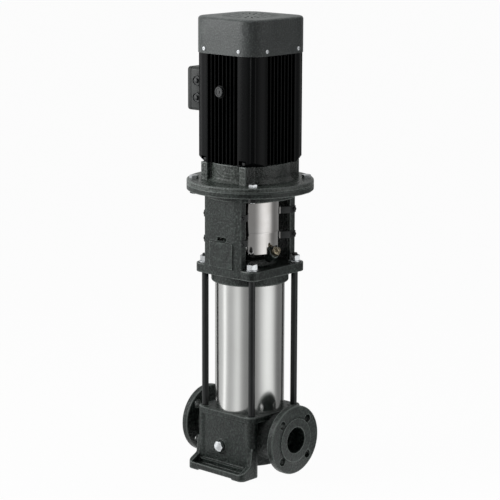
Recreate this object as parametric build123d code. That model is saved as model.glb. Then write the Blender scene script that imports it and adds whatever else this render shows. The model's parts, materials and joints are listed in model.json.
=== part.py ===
"""Vertical multistage in-line centrifugal pump with a flanged electric motor on top.

Frame: origin on the floor under the shaft, +Z up the shaft, +X from the suction
flange to the discharge flange, -Y towards the drain plug. Lengths are millimetres.
Each function below builds one node; parts/NODE.step holds its solids.
"""
from build123d import *
from math import asin, cos, radians, sin, sqrt
import os

# ---------------------------------------------------------------- fits
SEAT_GAP = 0.05        # radial gap of a part that is seated on or in another one
HOLE_GAP = 0.8         # radial gap of a bolt in its clearance hole
JOURNAL_GAP = 0.05     # radial gap of a running bearing
RUN_GAP = 0.5          # gap between other turning and standing parts

# ---------------------------------------------------------------- pump base
PORT_HEIGHT = 90.0          # pipe axis above the floor
FACE_TO_FACE = 300.0        # over both raised faces
FLANGE_DIAMETER = 165.0
FLANGE_THICKNESS = 20.0     # raised face included
FLANGE_EDGE = 20.0          # hole circle inside the rim
FLANGE_HOLE = 19.0
FLANGE_HOLES = 4
RAISED_DIAMETER = 106.0
RAISED_HEIGHT = 3.0
PORT_MOUTH = 62.0
MOUTH_DEPTH = 40.0
PORT_PASSAGE = 58.0         # water way behind the machined mouth
NECK_DIAMETER = 86.0
NECK_FLARE = 21.0           # added to the neck's radius where it meets the chamber
NUT_ROOM = 22.0             # straight part of the neck behind the flange
NECK_RIB = 12.0             # rib under each neck
NECK_RIB_BOTTOM = 24.0
BASE_HEIGHT = 148.0         # seat of the outer sleeve
BODY_Y = 87.0               # half width over the side plates
PLATE_THICKNESS = 9.0
COLUMN_RADIUS = 15.0        # rounded corner columns that hold the stay bolts
SHELL_RADIUS = 85.0         # round wall of the pressure chamber
SHELL_WALL = 11.0
TOP_FLANGE = 14.0           # square flange round the chamber's mouth
LANDING_RISE = 2.0          # bosses under the stay bolts
FOOT_X = 89.0
FOOT_Y = 124.0
FOOT_CORNER = 13.0
FOOT_FLOOR = 9.0
RAIL_HEIGHT = 17.0
RAIL_WIDTH = 7.0
LEDGE_HEIGHT = 21.0
LEDGE_WIDTH = 6.0
GUSSET_HEIGHT = 52.0
GUSSET_WIDTH = 12.0
ARCH_HEIGHT = 20.0          # gap under the chamber, between the feet
CHAMBER_FLOOR = 9.0
PAD_LENGTH = 34.0           # machined pads at the ends of each foot
PAD_RELIEF = 3.0
ANCHOR_X = 130.0            # foundation bolt spacing
ANCHOR_Y = 215.0
ANCHOR_HOLE = 13.5
WELL_RADIUS = 36.0          # suction well under the first stage
WELL_WALL = 6.0
SPIGOT_HEIGHT = 12.0        # centring ring inside the sleeve
SPIGOT_WALL = 8.0
O_RING = 4.0                # section of the sleeve rings

# ---------------------------------------------------------------- drain plug
DRAIN_X = -12.0
DRAIN_HEIGHT = 62.0
DRAIN_HEX = 24.0
DRAIN_HEAD = 8.0
DRAIN_WASHER = 2.0
DRAIN_THREAD = 20.0
DRAIN_DEPTH = 14.0
DRAIN_BOSS = 34.0
DRAIN_BOSS_HEIGHT = 1.5

# ---------------------------------------------------------------- pressure stack
SLEEVE_DIAMETER = 166.0
SLEEVE_WALL = 3.0
STAGES = 6
STAGE_HEIGHT = 45.0
CHAMBER_RADIUS = 69.0
CHAMBER_WALL = 2.5
INLET_HEIGHT = 18.0         # bottom chamber under the first stage
TOP_HEIGHT = 14.0           # discharge cover over the last stage
STACK_CLEARANCE = 18.0      # from the discharge cover to the sleeve's top edge
GUIDE_VANES = 6
GUIDE_SWEEP = -50.0         # degrees
STRAPS = 3
STRAP_TURN = 60.0           # first strap, degrees from +X
STRAP_WIDTH = 22.0
STRAP_THICKNESS = 2.0
IMPELLER_RADIUS = 54.0
IMPELLER_EYE = 27.0
IMPELLER_CHANNEL = 9.0      # water passage between the shrouds
SHROUD = 2.0
VANES = 6
VANE_SWEEP = 75.0           # degrees
VANE_THICKNESS = 2.4
HUB_RADIUS = 15.0

# ---------------------------------------------------------------- shafts and coupling
PUMP_SHAFT = 22.0
MOTOR_SHAFT = 38.0
MOTOR_SHAFT_LENGTH = 80.0   # free end below the motor flange
SHAFT_SPACE = 9.0           # between the two shaft ends
COUPLING_DIAMETER = 76.0
COUPLING_GRIP = 46.0        # grip on the pump shaft
COUPLING_SPLIT = 2.0        # gap between the halves
COUPLING_PIN = 7.0
COUPLING_SCREW = 8.0
SEAL_DIAMETER = 40.0

# ---------------------------------------------------------------- pump head
HEAD_RING = 21.0
HEAD_RADIUS = 92.0
HEAD_SKIRT = 10.0           # overlap of the ring over the sleeve
DOME_RADIUS = 64.0
DOME_HEIGHT = 14.0          # above the stool plate
DOME_WALL = 10.0
DOME_SLOPE = 8.0
SEAL_HOUSING = 62.0
SEAL_HOUSING_HEIGHT = 8.0   # above the dome
SEAL_COVER = 6.0
VENT_REACH = 74.0           # end of the vent boss from the shaft
VENT_LEVEL = 32.0           # end of the vent boss above the stool plate
VENT_TURN = 3.0             # boss turned from +X
VENT_TILT = 32.0            # boss raised from level
VENT_BOSS = 28.0
VENT_BOSS_LENGTH = 34.0
VENT_HEX = 20.0
VENT_HEAD = 9.0
VENT_THREAD = 14.0
VENT_DEPTH = 12.0
SPINDLE = 6.0
SPINDLE_HEAD = 10.0
SPINDLE_RISE = 5.0

# ---------------------------------------------------------------- motor stool
PLATE_HALF = 95.5
PLATE_CORNER = 20.0
STOOL_PLATE = 22.0
STOOL_HEIGHT = 190.0        # plate top to motor face
STOOL_FLANGE_THICKNESS = 14.0
STOOL_RING_STEP = 7.0       # upper ring inside the motor's register
STOOL_RING_HEIGHT = 16.0
STOOL_OPENING = 86.0        # radius of the bore through the upper ring
WEB_FACE = 98.5             # distance of the flat web face from the axis
WEB_FLAT = 38.0             # half width of that face
WEB_EDGE_X = 58.0
WEB_EDGE_Y = 95.5
WEB_THICKNESS = 9.0
PAD_WIDTH = 72.0
PAD_HEIGHT = 60.0
PAD_RISE = 3.5
SLOT_LEVEL = 67.0           # slot above the stool plate
SLOT_WIDTH = 28.0
SLOT_HEIGHT = 8.0

# ---------------------------------------------------------------- stay bolts
STAY_SPACING = 150.0
STAY_DIAMETER = 16.0
STAY_INSERT = 24.0          # depth in the base
STAY_END = 5.0              # thread above the nut
STAY_NUT = 24.0
STAY_NUT_HEIGHT = 13.0
STAY_WASHER = 30.0
STAY_WASHER_HEIGHT = 3.0
STAY_HOLE = 18.0

# ---------------------------------------------------------------- coupling guards
GUARD_RADIUS = 70.0
GUARD_ANGLE = 52.0          # half angle of the curved sheet
GUARD_SHEET = 1.5
GUARD_BOTTOM = 30.0         # above the stool plate
GUARD_TOP = 152.0
GUARD_BEAD = 80.0           # height of the stiffening bead
GUARD_TAB = 16.0
GUARD_TABS = (62.0, 122.0)  # levels of the fixing tabs above the stool plate
GUARD_NOTCH = 38.0
GUARD_SCREW = 5.0

# ---------------------------------------------------------------- motor
MOTOR_FLANGE = 300.0
MOTOR_FLANGE_THICKNESS = 11.0
MOTOR_EDGE = 17.5           # bolt circle inside the rim of the motor flange
MOTOR_BOLT = 12.0
MOTOR_BOLT_HOLE = 14.0
MOTOR_BOLT_HEX = 19.0
REGISTER_EDGE = 17.5        # register inside the bolt circle
REGISTER_DEPTH = 4.0
BRACKET_RADIUS = 95.0
BRACKET_HEIGHT = 54.0       # motor face to the bottom of the housing
BRACKET_WALL = 8.0
TIE_X = 61.0
TIE_Y = 84.0
TIE_BOLT = 8.0
TIE_HEX = 13.0
TIE_HEAD = 6.0
TIE_DEPTH = 20.0
LUG_WIDTH = 20.0
EAR_THICKNESS = 4.0
HOUSING_HALF = 96.0
HOUSING_CORNER = 42.0
HOUSING_HEIGHT = 258.0
HOUSING_CORE = 79.0         # radius at the fin roots
HOUSING_BORE = 70.0
HOUSING_CHAMFER = 9.0
GROOVES = 8                 # on each face, between the fins
FIN_PITCH = 12.0
FIN_THICKNESS = 3.0
RIDGE_WIDTH = 10.0
RIDGE_RISE = 2.0
KNOB_X = -8.0
KNOB_DIAMETER = 24.0
KNOB_HEIGHT = 5.0
KNOB_LEVEL = 222.0          # above the motor face
STATOR_LENGTH = 130.0
STATOR_BORE = 45.0
WINDING_HEIGHT = 26.0
AIR_GAP = 0.6
BEARING_BORE = 40.0
BEARING_DIAMETER = 80.0
BEARING_WIDTH = 18.0
BEARING_RACE = 6.0
BALLS = 8
BALL = 10.0
SHIELD_THICKNESS = 12.0
COVER_HEIGHT = 84.0
COVER_WALL = 2.5
COVER_GAP = 1.2             # between the cover and the housing faces
COVER_ROUND = 7.0
COVER_OVERLAP = 4.0
COVER_SCREW_X = 54.0
COVER_SCREW_LEVEL = 11.0    # above the cover's edge
COVER_SCREW = 5.0
COVER_SCREW_HEAD = 2.5
COVER_SCREW_LENGTH = 11.0   # under the head
GRILLE_INNER = (24.0, 42.0)
GRILLE_OUTER = (47.0, 68.0)
INNER_SLOTS = 12
OUTER_SLOTS = 24
GRILLE_SLOT = 4.0
FAN_RADIUS = 76.0
FAN_BLADES = 8
FAN_BLADE = 3.0
FAN_HEIGHT = 32.0
FAN_HUB = 24.0

# ---------------------------------------------------------------- terminal box
BOX_REACH = 150.0           # lid face from the shaft
BOX_WIDTH = 116.0
BOX_SEAT = 97.0             # back of the box from the shaft
BOX_NECK = 70.0
BOX_HEIGHT = 103.0
BOX_LEVEL = 216.0           # centre above the motor face
BOX_CORNER = 8.0
BOX_WALL = 5.0
BOX_LID = 13.0
LID_GASKET = 1.0
LID_SCREW = 4.0
LID_SCREW_HEAD = 3.0
LID_SCREW_SINK = 2.5        # depth of the head's seat
LID_SCREW_GRIP = 6.0        # reach into the box
ENTRY_DIAMETER = 25.0
ENTRY_COLLAR = 4.0          # thickness of a plug's collar
ENTRY_STEP = 3.0            # collar over the plug's shank
ENTRY_RISE = 7.0            # plug's end over the box's face
ENTRY_SPACING = 40.0
BOARD_THICKNESS = 10.0
BOARD_WIDTH = 60.0          # along the box
BOARD_HEIGHT = 50.0
STUD_DIAMETER = 5.0
STUD_LENGTH = 12.0          # from the board's face
STUD_NUT = 8.0              # across flats
STUD_NUT_HEIGHT = 4.0
STUD_PITCH = 18.0           # along the board
STUD_ROWS = 24.0            # between the two rows
STUDS = 6

# ---------------------------------------------------------------- levels worked out from the sizes
half_face = FACE_TO_FACE / 2
sleeve_radius = SLEEVE_DIAMETER / 2
sleeve_bore = sleeve_radius - SLEEVE_WALL
stack_bottom = BASE_HEIGHT
stage_bottom = stack_bottom + INLET_HEIGHT
stage_top = stage_bottom + STAGES * STAGE_HEIGHT
stack_top = stage_top + TOP_HEIGHT
sleeve_top = stack_top + STACK_CLEARANCE
head_bottom = sleeve_top - HEAD_SKIRT
plate_bottom = head_bottom + HEAD_RING
plate_top = plate_bottom + STOOL_PLATE
dome_top = plate_top + DOME_HEIGHT
seal_top = dome_top + SEAL_HOUSING_HEIGHT
motor_face = plate_top + STOOL_HEIGHT
shaft_joint = motor_face - MOTOR_SHAFT_LENGTH
pump_shaft_top = shaft_joint - SHAFT_SPACE
coupling_bottom = pump_shaft_top - COUPLING_GRIP
coupling_top = motor_face - STOOL_FLANGE_THICKNESS - RUN_GAP
housing_bottom = motor_face + BRACKET_HEIGHT
housing_top = housing_bottom + HOUSING_HEIGHT
cover_bottom = housing_top - COVER_OVERLAP
cover_top = cover_bottom + COVER_HEIGHT
stay = STAY_SPACING / 2
body_x = stay + COLUMN_RADIUS
flange_pcd = FLANGE_DIAMETER - 2 * FLANGE_EDGE
motor_pcd = MOTOR_FLANGE - 2 * MOTOR_EDGE
register_radius = motor_pcd / 2 - REGISTER_EDGE
stool_ring_radius = register_radius - STOOL_RING_STEP
chamber_bottom = ARCH_HEIGHT + CHAMBER_FLOOR
seal_radius = SEAL_DIAMETER / 2
pump_shaft_radius = PUMP_SHAFT / 2
motor_shaft_radius = MOTOR_SHAFT / 2
spacer_radius = HUB_RADIUS
web_inner = WEB_EDGE_Y - WEB_THICKNESS
cover_half = HOUSING_HALF + COVER_GAP + COVER_WALL
box_middle = motor_face + BOX_LEVEL
plate_screw = SEAL_HOUSING / 2 - 5


# ---------------------------------------------------------------- shapes used by many nodes
def post(radius, bottom, top, x=0.0, y=0.0):
    """Upright cylinder between two levels."""
    return Pos(x, y, (bottom + top) / 2) * Cylinder(radius, top - bottom)


def tube(outer, inner, bottom, top, x=0.0, y=0.0):
    """Upright tube between two levels."""
    return post(outer, bottom, top, x, y) - post(inner, bottom, top, x, y)


def block(x0, x1, y0, y1, z0, z1):
    """Box between two corners."""
    return Pos((x0 + x1) / 2, (y0 + y1) / 2, (z0 + z1) / 2) * Box(x1 - x0, y1 - y0, z1 - z0)


def slab(half_x, half_y, corner, bottom, top):
    """Upright prism with a rounded rectangular outline."""
    return extrude(Plane.XY.offset(bottom) * RectangleRounded(2 * half_x, 2 * half_y, corner), top - bottom)


def hexagon(across_flats, bottom, top, x=0.0, y=0.0):
    """Upright hexagonal prism."""
    outline = RegularPolygon(across_flats / 2, 6, major_radius=False)
    return extrude(Plane.XY.offset(bottom) * Pos(x, y) * outline, top - bottom)


def spun(*points):
    """Solid of revolution about the shaft from (radius, level) points."""
    outline = Polyline(*[(radius, 0, level) for radius, level in points], close=True)
    return revolve(make_face(outline), Axis.Z)


def plan_prism(points, bottom, top):
    """Upright prism from plan points."""
    outline = make_face(Polyline(*[(x, y, bottom) for x, y in points], close=True))
    return extrude(outline, top - bottom, dir=(0, 0, 1))


def corners(x, y):
    """The four places mirrored from one quarter."""
    return [(x, y), (-x, y), (-x, -y), (x, -y)]


def turned(shape, count, start=0.0):
    """Copies of a shape spaced evenly about the shaft."""
    return [Rot(0, 0, start + 360 * step / count) * shape for step in range(count)]


def group(shapes):
    """Several separate solids that share one node."""
    return Compound(children=[solid for shape in shapes for solid in shape.solids()])


def bolt(diameter, across_flats, head, length):
    """Hexagon bolt that points down, with the seat of its head at the origin."""
    return hexagon(across_flats, 0, head) + post(diameter / 2, -length, 0)


def vane(inner, outer, sweep, thickness, bottom, height):
    """Blade that curls back through sweep degrees between two radii."""
    radii = (inner, (inner + outer) / 2, outer)
    turns = (0.0, 0.42 * sweep, sweep)
    sides = []
    for side in (-1, 1):
        edge = []
        for radius, turn in zip(radii, turns):
            angle = radians(turn) + side * asin(thickness / 2 / radius)
            edge.append((radius * cos(angle), radius * sin(angle)))
        sides.append(edge)
    near, far = sides
    outline = [ThreePointArc(*near), Line(near[2], far[2]), ThreePointArc(*far), Line(far[0], near[0])]
    return extrude(Plane.XY.offset(bottom) * make_face(outline), height)


# ---------------------------------------------------------------- pump base
def port_flange(side):
    """Pipe flange with its raised face, holes and neck; side is -1 for suction, +1 for discharge."""
    radius = FLANGE_DIAMETER / 2
    back = half_face - FLANGE_THICKNESS
    edge = half_face - RAISED_HEIGHT
    neck = NECK_DIAMETER / 2
    reach = stay - COLUMN_RADIUS
    straight = back - NUT_ROOM
    middle = (reach + straight) / 2
    wide = neck + NECK_FLARE
    rim = RAISED_HEIGHT / 2
    outline = [Line((0, 0, reach), (wide, 0, reach)),
               ThreePointArc((wide, 0, reach), (wide - NECK_FLARE / 3, 0, middle), (neck, 0, straight)),
               Polyline((neck, 0, straight), (neck, 0, back), (radius - rim, 0, back),
                        (radius, 0, back + rim),
                        (radius, 0, edge - rim), (radius - rim, 0, edge), (RAISED_DIAMETER / 2, 0, edge),
                        (RAISED_DIAMETER / 2, 0, half_face), (0, 0, half_face), (0, 0, reach))]
    flange = revolve(make_face(outline), Axis.Z)
    hole = post(FLANGE_HOLE / 2, back - 1, half_face, flange_pcd / 2)
    for drilled in turned(hole, FLANGE_HOLES, 180 / FLANGE_HOLES):
        flange -= drilled
    flange = Pos(0, 0, PORT_HEIGHT) * Rot(0, side * 90, 0) * flange
    near, far = sorted((side * reach, side * (back + RAISED_HEIGHT)))
    return flange + block(near, far, -NECK_RIB / 2, NECK_RIB / 2, NECK_RIB_BOTTOM, PORT_HEIGHT)


def foot():
    """Foot rail on the +Y side with its bolt groove, ledge and end gussets."""
    inner = BODY_Y - PLATE_THICKNESS
    shape = block(-FOOT_X, FOOT_X, inner, FOOT_Y, 0, FOOT_FLOOR)
    shape += block(-FOOT_X, FOOT_X, FOOT_Y - RAIL_WIDTH, FOOT_Y, 0, RAIL_HEIGHT)
    shape += block(-FOOT_X, FOOT_X, inner, BODY_Y + LEDGE_WIDTH, 0, LEDGE_HEIGHT)
    top = LEDGE_HEIGHT + GUSSET_HEIGHT
    side = [(inner, 0), (FOOT_Y, 0), (FOOT_Y, RAIL_HEIGHT),
            (BODY_Y + LEDGE_WIDTH, LEDGE_HEIGHT + GUSSET_WIDTH), (BODY_Y, top), (inner, top)]
    for start in (-FOOT_X, FOOT_X - GUSSET_WIDTH):
        outline = make_face(Polyline(*[(start, y, z) for y, z in side], close=True))
        shape += extrude(outline, GUSSET_WIDTH, dir=(1, 0, 0))
    shape &= slab(FOOT_X, FOOT_Y, FOOT_CORNER, 0, BASE_HEIGHT)
    relief = FOOT_X - PAD_LENGTH
    shape -= block(-relief, relief, 0, FOOT_Y + 1, 0, PAD_RELIEF)
    for x in (-ANCHOR_X / 2, ANCHOR_X / 2):
        shape -= post(ANCHOR_HOLE / 2, 0, LEDGE_HEIGHT, x, ANCHOR_Y / 2)
    return shape


def chamber_walls():
    """Round pressure chamber with the square top flange, side plates and stay-bolt columns."""
    shape = post(SHELL_RADIUS, ARCH_HEIGHT, BASE_HEIGHT)
    shape += slab(body_x, body_x, COLUMN_RADIUS, BASE_HEIGHT - TOP_FLANGE, BASE_HEIGHT)
    for side in (-1, 1):
        y0, y1 = sorted((side * (BODY_Y - PLATE_THICKNESS), side * BODY_Y))
        shape += block(-stay, stay, y0, y1, LEDGE_HEIGHT / 2, BASE_HEIGHT)
    for x, y in corners(stay, stay):
        shape += post(COLUMN_RADIUS, 0, BASE_HEIGHT, x, y)
    return shape


def pump_base():
    """In-line base casting: ports, suction well, discharge chamber, feet."""
    shape = chamber_walls()
    for turn in (0, 180):
        shape += Rot(0, 0, turn) * foot()
    for side in (-1, 1):
        shape += port_flange(side)
    shape -= post(SHELL_RADIUS - SHELL_WALL, chamber_bottom, BASE_HEIGHT)
    well = tube(WELL_RADIUS + WELL_WALL, WELL_RADIUS, chamber_bottom, BASE_HEIGHT)
    pipe = Pos(-stay / 2 - WELL_RADIUS / 2, 0, PORT_HEIGHT) * Rot(0, 90, 0) * Cylinder(
        PORT_PASSAGE / 2 + WELL_WALL, stay)
    pipe &= post(SHELL_RADIUS - SHELL_WALL / 2, chamber_bottom, BASE_HEIGHT)
    shape += pipe - post(WELL_RADIUS, chamber_bottom, BASE_HEIGHT)
    shape += well
    for side in (-1, 1):
        reach = WELL_RADIUS / 2 if side < 0 else WELL_RADIUS + 2 * WELL_WALL
        bore = Cylinder(PORT_PASSAGE / 2, half_face - reach)
        shape -= Pos(side * (half_face + reach) / 2, 0, PORT_HEIGHT) * Rot(0, 90, 0) * bore
        mouth = Cylinder(PORT_MOUTH / 2, MOUTH_DEPTH)
        shape -= Pos(side * (half_face - MOUTH_DEPTH / 2), 0, PORT_HEIGHT) * Rot(0, 90, 0) * mouth
    shape -= block(-body_x, body_x, -body_x, body_x, BASE_HEIGHT, PORT_HEIGHT + FLANGE_DIAMETER)
    spigot_outer = sleeve_bore - SEAT_GAP
    shape += tube(spigot_outer, spigot_outer - SPIGOT_WALL, BASE_HEIGHT - TOP_FLANGE / 2,
                  BASE_HEIGHT + SPIGOT_HEIGHT)
    shape -= o_ring_groove(BASE_HEIGHT + SPIGOT_HEIGHT / 2)
    for x, y in corners(stay, stay):
        shape += post(COLUMN_RADIUS - 1, BASE_HEIGHT, BASE_HEIGHT + LANDING_RISE, x, y) - post(
            sleeve_radius + HOLE_GAP, BASE_HEIGHT, BASE_HEIGHT + LANDING_RISE)
        shape -= post(STAY_DIAMETER / 2 + SEAT_GAP, BASE_HEIGHT - STAY_INSERT,
                      BASE_HEIGHT + LANDING_RISE, x, y)
    boss = Cylinder(DRAIN_BOSS / 2, SHELL_WALL)
    shape += Pos(DRAIN_X, -BODY_Y - DRAIN_BOSS_HEIGHT + SHELL_WALL / 2, DRAIN_HEIGHT) * Rot(90, 0, 0) * boss
    hole = Cylinder(DRAIN_THREAD / 2 + SEAT_GAP, 2 * SHELL_WALL)
    shape -= Pos(DRAIN_X, -BODY_Y + SHELL_WALL / 2, DRAIN_HEIGHT) * Rot(90, 0, 0) * hole
    return shape


def o_ring_groove(level):
    """Groove in a spigot for a sleeve ring."""
    half = O_RING / 2 + SEAT_GAP
    return tube(sleeve_radius, sleeve_bore - O_RING - 2 * SEAT_GAP, level - half, level + half)


def sleeve_o_rings():
    """Rings that seal the sleeve on the spigots of the base and the head."""
    section = Plane.XZ * Pos(sleeve_bore - SEAT_GAP - O_RING / 2, 0) * Circle(O_RING / 2)
    ring = revolve(section, Axis.Z)
    levels = (BASE_HEIGHT + SPIGOT_HEIGHT / 2, sleeve_top - SPIGOT_HEIGHT / 2)
    return group([Pos(0, 0, level) * ring for level in levels])


def drain_place(shape):
    """Moves a plug part, built pointing down, onto the drain boss."""
    return Pos(DRAIN_X, -BODY_Y - DRAIN_BOSS_HEIGHT, DRAIN_HEIGHT) * Rot(90, 0, 0) * shape


def drain_plug():
    """Hexagon plug with a chamfered head and a threaded shank."""
    head = hexagon(DRAIN_HEX, DRAIN_WASHER, DRAIN_WASHER + DRAIN_HEAD)
    top = DRAIN_WASHER + DRAIN_HEAD
    crown = DRAIN_HEX / 2
    head &= spun((0, DRAIN_WASHER), (crown * 1.2, DRAIN_WASHER), (crown * 1.2, top - crown * 0.15),
                 (crown * 0.9, top), (0, top))
    return drain_place(head + post(DRAIN_THREAD / 2, -DRAIN_DEPTH, DRAIN_WASHER))


def drain_washer():
    """Flat seal ring under the drain plug."""
    return drain_place(tube(DRAIN_HEX / 2, DRAIN_THREAD / 2 + SEAT_GAP, 0, DRAIN_WASHER))


# ---------------------------------------------------------------- pressure stack
def outer_sleeve():
    """Stainless pressure sleeve between base and head."""
    return tube(sleeve_radius, sleeve_bore, BASE_HEIGHT, sleeve_top)


def inlet_chamber():
    """Bottom chamber that leads the water from the well to the first impeller."""
    top = stage_bottom
    well = WELL_RADIUS + WELL_WALL
    return spun((WELL_RADIUS, stack_bottom), (well, stack_bottom), (CHAMBER_RADIUS, top - CHAMBER_WALL),
                (CHAMBER_RADIUS, top), (CHAMBER_RADIUS - CHAMBER_WALL, top), (WELL_RADIUS, stack_bottom + 4))


def stage_chamber(stage):
    """Pressed stage chamber with its guide-vane deck; stage counts from 0 at the bottom."""
    bottom = stage_bottom + stage * STAGE_HEIGHT
    top = bottom + STAGE_HEIGHT
    eye = IMPELLER_EYE + 2 * RUN_GAP + CHAMBER_WALL
    deck = bottom + STAGE_HEIGHT / 2
    rim = IMPELLER_RADIUS + CHAMBER_WALL
    shape = tube(CHAMBER_RADIUS, CHAMBER_RADIUS - CHAMBER_WALL, bottom, top)
    shape += tube(CHAMBER_RADIUS, eye, bottom, bottom + CHAMBER_WALL)
    shape += tube(rim, spacer_radius + 3 * CHAMBER_WALL, deck, deck + CHAMBER_WALL)
    blade = vane(eye, CHAMBER_RADIUS - CHAMBER_WALL / 2, GUIDE_SWEEP, VANE_THICKNESS, deck, top - deck)
    for guide in turned(blade, GUIDE_VANES):
        shape += guide
    return shape


def neck_rings():
    """Wear ring in each chamber's eye."""
    inner = IMPELLER_EYE + RUN_GAP
    outer = IMPELLER_EYE + 2 * RUN_GAP + CHAMBER_WALL - SEAT_GAP
    levels = [stage_bottom + stage * STAGE_HEIGHT for stage in range(STAGES)]
    return group([tube(outer, inner, level, level + 1.6 * CHAMBER_WALL) for level in levels])


def stage_bushes():
    """Journal bush in each guide-vane deck."""
    outer = spacer_radius + 3 * CHAMBER_WALL - SEAT_GAP
    levels = [stage_bottom + (stage + 0.5) * STAGE_HEIGHT for stage in range(STAGES)]
    return group([tube(outer, spacer_radius + JOURNAL_GAP, level - CHAMBER_WALL, level + 3 * CHAMBER_WALL)
                  for level in levels])


def discharge_cover():
    """Cover over the last stage that turns the water out to the sleeve."""
    eye = spacer_radius + 2 * RUN_GAP
    return spun((eye, stage_top), (CHAMBER_RADIUS, stage_top), (CHAMBER_RADIUS, stage_top + CHAMBER_WALL),
                (eye + CHAMBER_WALL, stack_top), (eye, stack_top))


def stack_straps():
    """Three straps that hold the chambers together."""
    outer = CHAMBER_RADIUS + SEAT_GAP + STRAP_THICKNESS
    band = tube(outer, outer - STRAP_THICKNESS, stack_bottom + INLET_HEIGHT / 2, stage_top)
    strap = band & block(0, outer, -STRAP_WIDTH / 2, STRAP_WIDTH / 2, stack_bottom, stack_top)
    return group(turned(strap, STRAPS, STRAP_TURN))


def impeller(stage):
    """Closed impeller with curved vanes; stage counts from 0 at the bottom."""
    bottom = stage_bottom + stage * STAGE_HEIGHT + 2 * CHAMBER_WALL
    lower = bottom + SHROUD
    upper = lower + IMPELLER_CHANNEL
    shape = tube(IMPELLER_RADIUS, IMPELLER_EYE - SHROUD, bottom, lower)
    shape += tube(IMPELLER_EYE, IMPELLER_EYE - SHROUD, bottom - 1.6 * CHAMBER_WALL, lower)
    shape += tube(IMPELLER_RADIUS, pump_shaft_radius + SEAT_GAP, upper, upper + SHROUD)
    shape += tube(HUB_RADIUS, pump_shaft_radius + SEAT_GAP, lower, upper)
    eye, tip = HUB_RADIUS + SHROUD, IMPELLER_RADIUS - 0.5
    blade = vane(eye, tip, VANE_SWEEP, VANE_THICKNESS, lower, IMPELLER_CHANNEL)
    for copy in turned(blade, VANES):
        shape += copy
    return shape


def impeller_hub_levels():
    """Lower and upper end of each impeller hub."""
    levels = []
    for stage in range(STAGES):
        bottom = stage_bottom + stage * STAGE_HEIGHT + 2 * CHAMBER_WALL + SHROUD
        levels.append((bottom, bottom + IMPELLER_CHANNEL + SHROUD))
    return levels


def shaft_spacers():
    """Journal sleeves between the impeller hubs and up to the seal."""
    levels = impeller_hub_levels()
    tops = [bottom for bottom, _ in levels[1:]] + [stack_top + STACK_CLEARANCE]
    return group([tube(spacer_radius, pump_shaft_radius + SEAT_GAP, hub_top, above)
                  for (_, hub_top), above in zip(levels, tops)])


def shaft_nut():
    """Nut under the first impeller."""
    top = impeller_hub_levels()[0][0]
    return hexagon(1.6 * HUB_RADIUS, top - HUB_RADIUS, top) - post(
        pump_shaft_radius + SEAT_GAP, top - HUB_RADIUS, top)


def pump_shaft():
    """Stainless shaft from the first impeller to the coupling, with the pin's cross hole."""
    bottom = impeller_hub_levels()[0][0] - HUB_RADIUS
    chamfer_length = PUMP_SHAFT / 14
    radius = pump_shaft_radius
    shaft = spun((0, bottom), (radius - chamfer_length, bottom), (radius, bottom + chamfer_length),
                 (radius, pump_shaft_top - chamfer_length), (radius - chamfer_length, pump_shaft_top),
                 (0, pump_shaft_top))
    return shaft - pin_bar(COUPLING_PIN / 2 + SEAT_GAP, PUMP_SHAFT)


# ---------------------------------------------------------------- shaft seal
def seal_seat():
    """Stationary seal ring in the head."""
    return tube(seal_radius, pump_shaft_radius + 2 * RUN_GAP, dome_top - SEAL_HOUSING_HEIGHT, seal_top)


def seal_ring():
    """Turning seal ring that runs against the seat."""
    top = dome_top - SEAL_HOUSING_HEIGHT - RUN_GAP / 5
    face = tube(seal_radius - 3, pump_shaft_radius + SEAT_GAP, top - SEAL_HOUSING_HEIGHT, top)
    return face


def seal_driver():
    """Spring carrier that turns the seal ring."""
    top = dome_top - 2 * SEAL_HOUSING_HEIGHT - RUN_GAP / 5
    bottom = stack_top + STACK_CLEARANCE
    return tube(seal_radius - 2, pump_shaft_radius + SEAT_GAP, bottom, top)


def seal_cover():
    """Gland plate over the seal, with its screw holes."""
    shape = tube(SEAL_HOUSING / 2, pump_shaft_radius + 2 * RUN_GAP, seal_top, seal_top + SEAL_COVER)
    for hole in turned(post(2.5 + SEAT_GAP, seal_top, seal_top + SEAL_COVER, plate_screw), 3, 90):
        shape -= hole
    return shape


def seal_screws():
    """Socket screws of the gland plate."""
    screw = post(4.25, seal_top + SEAL_COVER, seal_top + SEAL_COVER + 5, plate_screw)
    screw += post(2.5, seal_top - SEAL_COVER, seal_top + SEAL_COVER, plate_screw)
    return group(turned(screw, 3, 90))


# ---------------------------------------------------------------- coupling
def pin_bar(radius, length):
    """Bar along X through the pump shaft at the coupling pin's level."""
    return Pos(0, 0, coupling_bottom + COUPLING_GRIP / 2) * Rot(0, 90, 0) * Cylinder(radius, length)


def coupling_screw_places():
    """X, level and side of each clamp screw; side +1 has its head at +Y."""
    x = (motor_shaft_radius + COUPLING_DIAMETER / 2) / 2
    low = coupling_bottom + COUPLING_GRIP / 2
    high = (shaft_joint + coupling_top) / 2
    return [(x * across, level) for across in (-1, 1) for level in (low, high)]


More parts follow.
